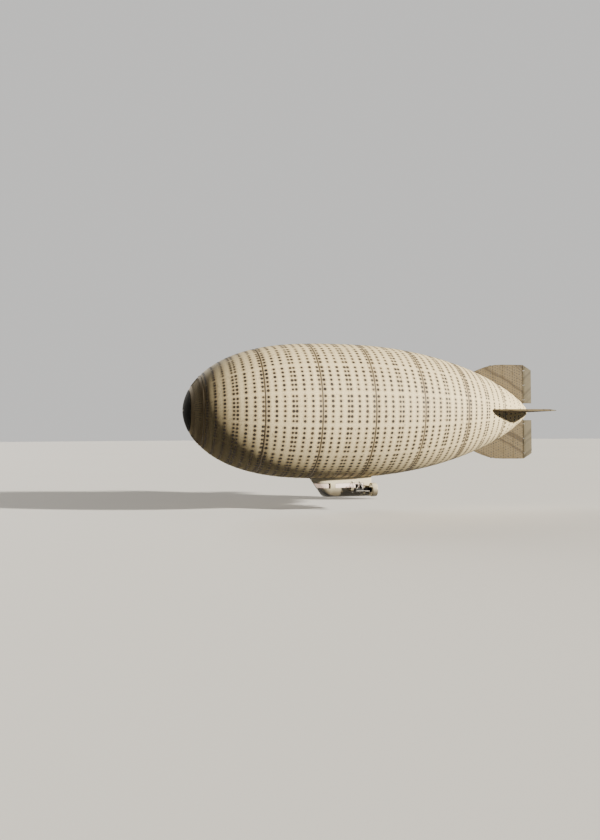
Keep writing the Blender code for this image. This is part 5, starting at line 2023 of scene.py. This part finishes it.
# %% Turn the nacelles
POD_OUT = 1.90
POD_CENTER = (POD_OUT, SHAFT_HEIGHT)
COWL_PROFILE = [(18.252, 0.05), (18.252, 0.185), (18.262, 0.200), (18.30, 0.238), (18.35, 0.256),
                (18.41, 0.267), (18.46, 0.270), (18.54, 0.270), (18.544, 0.2745), (18.566, 0.2745),
                (18.57, 0.270), (19.02, 0.270), (19.08, 0.2700), (19.20, 0.2695), (19.24, 0.258),
                (19.268, 0.232), (19.28, 0.200), (19.28, 0.045), (19.20, 0.043)]
LOUVRES = 7
LOUVRE_STATION = 18.78
LOUVRE_ROWS = ((0.268, 0.11, 0.011), (0.278, 0.10, 0.008), (0.280, 0.10, 0.003))


def add_louvre(form, turn):
    """A raised slat along the cowl, from (reach, half length, half width) rows."""
    y, z = math.sin(turn), math.cos(turn)
    rings = []
    for reach, length, width in LOUVRE_ROWS:
        ring = []
        for along, around in ((-1, -1), (1, -1), (1, 1), (-1, 1)):
            out = POD_OUT + y * reach + around * width * z
            ring.append((LOUVRE_STATION + along * length, out, SHAFT_HEIGHT + z * reach - around * width * y))
        rings.append(ring)
    form.skin(rings)


def add_rivet_ring(form, station, radius, count, start):
    for y, z in arc(radius, count, start):
        form.rivet((station, POD_OUT + y, SHAFT_HEIGHT + z), (0, y, z))


def make_nacelle(side):
    form = Form(black_shell, steel, side=side)
    form.turned(COWL_PROFILE, 72, POD_CENTER)
    for k in range(LOUVRES):
        add_louvre(form, math.radians(52 + 12.7 * k))
    form.finish = 1
    for station in (18.60, 19.00):
        add_rivet_ring(form, station, 0.2695, 16, 0.1)
    return form


make_pairs((make_nacelle, "nacelle", "cowl", "black_shell"))

# %% [markdown]
# ## Ducts
# A pale ring surrounds each propeller and steadies its wake. Its section is a small wing with a full,
# round lip in front. Five vanes hold it to a collar on the nacelle, and a bracket to the cabin.

# %% Turn the ducts
DUCT_SECTION = [(19.078, 0.690, 0), (19.10, 0.707, 0), (19.20, 0.7150, 0), (19.34, 0.7135, 0),
                (19.48, 0.707, 0), (19.598, 0.691, 0), (19.598, 0.686, 0), (19.42, 0.6665, 0),
                (19.20, 0.6625, 0), (19.10, 0.673, 0)]
COLLAR = [(19.092, 0.2705), (19.090, 0.287), (19.096, 0.292), (19.184, 0.292), (19.190, 0.287),
          (19.188, 0.2705)]
VANES = 5
VANE_MIDDLE = Vector((19.14, POD_OUT, SHAFT_HEIGHT))
VANE_SECTION = [(-0.034, 0.0), (-0.026, 0.006), (-0.008, 0.009), (0.012, 0.007), (0.035, 0.0),
                (0.012, -0.007), (-0.008, -0.009), (-0.026, -0.006)]
BRACKET_BOLT = [(0, 0.0), (0.02, 0.010), (0.032, 0.010), (0.034, 0.005)]


def add_vane(form, turn):
    out = Vector((0, math.sin(turn), math.cos(turn)))
    flat = Vector((0, out.z, -out.y))
    rings = []
    for reach in (0.285, 0.45, 0.672):
        rings.append([VANE_MIDDLE + out * reach + Vector((s, 0, 0)) + flat * w for s, w in VANE_SECTION])
    form.skin(rings)


def make_duct(side):
    form = Form(cream_paint, steel, side=side)
    section = eased(DUCT_SECTION, 4, closed=True)
    form.turned([(p.x, p.y) for p in section], 96, POD_CENTER, hoop=True)
    form.turned(COLLAR, 72, POD_CENTER, hoop=True)
    for i in range(VANES):
        add_vane(form, 2 * math.pi * i / VANES)
    form.block((19.20, HALF_BEAM - 0.002, -8.24), (19.42, 1.213, -8.10), 0.012, 3)
    form.finish = 1
    for s in (19.24, 19.38):
        for z, up in ((-8.215, -1), (-8.125, 1)):
            form.spun((s, 1.10, z), (0, 0, up), BRACKET_BOLT, 6)
    add_rivet_ring(form, 19.22, 0.7145, 24, 0.13)
    return form


make_pairs((make_duct, "duct", "ring", "cream_paint"))

# %% [markdown]
# ## Propellers
# Four wooden blades twist from a steep root to a flat tip, with a brass-edged leading edge and a
# turned spinner. Each propeller rides on its own body and turns on the ship's fore-and-aft line.

# %% Carve the propellers
BLADE_STATION = 19.38
BLADES = 4
# (radius, chord, thickness over chord, pitch in degrees)
BLADE_ROWS = [(0.085, 0.085, 0.36, 52), (0.14, 0.105, 0.20, 47), (0.22, 0.122, 0.155, 40),
              (0.31, 0.130, 0.13, 34), (0.40, 0.126, 0.115, 30), (0.49, 0.115, 0.105, 26),
              (0.56, 0.100, 0.10, 24), (0.60, 0.078, 0.09, 23), (0.617, 0.045, 0.09, 22)]
EDGE_STRIP = [(-0.508, 0.0), (-0.47, 0.30), (-0.40, 0.50), (-0.40, -0.24), (-0.47, -0.15)]
SPINNER = [(19.125, 0.0), (19.125, 0.038), (19.31, 0.038), (19.31, 0.105), (19.318, 0.110), (19.44, 0.110),
           (19.47, 0.104), (19.50, 0.092), (19.53, 0.075), (19.555, 0.054), (19.572, 0.032), (19.579, 0.012),
           (19.580, 0.0)]


def blade_section(points=14):
    """A wing section from its leading edge round to it again, chord 1 and thickness 1."""
    shape = []
    for k in range(points + 1):
        u = 0.5 * (1 - math.cos(math.pi * k / points)) - 0.5
        t = u + 0.5
        shape.append((u, 0.5 * (1.9 * math.sqrt(t) * (1 - t) + 0.25 * t * (1 - t))))
    return shape + [(u, -0.45 * w) for u, w in shape[-2:0:-1]]


brass = steel_finish("brass", (0.62, 0.46, 0.22), (0.40, 0.28, 0.13), 0.26)


def add_along_blade(form, turn, section, rows):
    """Carry a section along a blade, turned and sized by the rows."""
    center = Vector((BLADE_STATION, POD_OUT, SHAFT_HEIGHT))
    out = Vector((0, math.sin(turn), math.cos(turn)))
    around = Vector((0, out.z, -out.y))
    rings = []
    for radius, chord, fullness, pitch in rows:
        lean = math.radians(pitch)
        along = Vector((-math.sin(lean), 0, 0)) + around * math.cos(lean)
        thick = Vector((-math.cos(lean), 0, 0)) - around * math.sin(lean)
        rings.append([center + out * radius + along * (u * chord) + thick * (w * chord * fullness)
                      for u, w in section])
    form.skin(rings)


def make_propeller(side):
    form = Form(blade_lacquer, black_shell, brass, side=side)
    for i in range(BLADES):
        turn = 2 * math.pi * (i + 0.5) / BLADES
        form.finish = 0
        add_along_blade(form, turn, blade_section(), BLADE_ROWS)
        form.finish = 2
        add_along_blade(form, turn, EDGE_STRIP, BLADE_ROWS[4:])
    form.finish = 1
    form.turned(SPINNER, 48, POD_CENTER)
    return form


make_pairs((make_propeller, "propeller", "airscrew", "engine_black"))

# %% [markdown]
# ## A floor, a pale room and soft light
# The ship floats a little above a wide pale floor. A large soft sun stands off the port quarter, so
# the tail is bright and the nose turns away into shade, and a dim sky fills the rest. The sky looks
# pale to the camera, fairly bright in glass and chrome, and weak as light on the ship. The floor throws
# no light up at it either, or the hull would lose its roundness.

# %% Light the room
FLOOR_HEIGHT = -10.4
FLOOR_REACH = 900.0
SUN_TO_TAIL = math.radians(50)
SUN_HEIGHT = math.radians(16)
SUN_STRENGTH = 11.5
FILL_STRENGTH = 2.2
FILL_DIRECTION = Vector((0.35, -1.0, 0.45))
SKY_LIGHT, SKY_SEEN, SKY_MIRRORED = 0.07, 0.79, 0.60


def make_floor():
    paint = Finish("pale_floor", Roughness=0.85)
    mottle = paint.noise(0.02, 3.0)
    paint.set(Base_Color=paint.mix(mottle, (0.78, 0.76, 0.73), (0.82, 0.80, 0.77)))
    shape = bmesh.new()
    bmesh.ops.create_circle(shape, cap_ends=True, segments=64, radius=FLOOR_REACH)
    bmesh.ops.translate(shape, verts=shape.verts, vec=(0, 0, FLOOR_HEIGHT))
    mesh = as_mesh("floor", shape)
    mesh.materials.append(paint.material)
    floor = stand("floor", mesh)
    floor.visible_diffuse = False


def make_sun(name, direction, strength, width_degrees, color):
    """A sun lamp; the wider it looks from the ship, the softer its shadows."""
    light = bpy.data.lights.new(name, "SUN")
    light.energy = strength
    light.angle = math.radians(width_degrees)
    light.color = color
    lamp = stand(name, light)
    lamp.rotation_euler = direction.to_track_quat("Z", "Y").to_euler()


def make_sky():
    world = bpy.data.worlds.new("pale_room")
    world.use_nodes = True
    graph = Graph(world.node_tree)
    for node in list(world.node_tree.nodes):
        world.node_tree.nodes.remove(node)
    path = graph.add("ShaderNodeLightPath").outputs
    seen, mirrored = Term(graph, path["Is Camera Ray"]), Term(graph, path["Is Glossy Ray"])
    tint = graph.mix(seen, (0.80, 0.75, 0.68), (0.86, 0.85, 0.83))
    strength = SKY_LIGHT + SKY_SEEN * seen + SKY_MIRRORED * mirrored
    glow = graph.add("ShaderNodeBackground", None, {"Color": tint, "Strength": strength})
    graph.add("ShaderNodeOutputWorld", None, {"Surface": glow})
    bpy.context.scene.world = world


key_direction = Vector((-math.sin(SUN_TO_TAIL) * math.cos(SUN_HEIGHT),
                        math.cos(SUN_TO_TAIL) * math.cos(SUN_HEIGHT), math.sin(SUN_HEIGHT)))
make_floor()
make_sun("key_sun", key_direction, SUN_STRENGTH, 2.5, (1.0, 0.95, 0.84))
make_sun("far_side_fill", FILL_DIRECTION, FILL_STRENGTH, 40.0, (1.0, 0.96, 0.88))
make_sky()
print("key light from", [round(v, 2) for v in key_direction])

# %% [markdown]
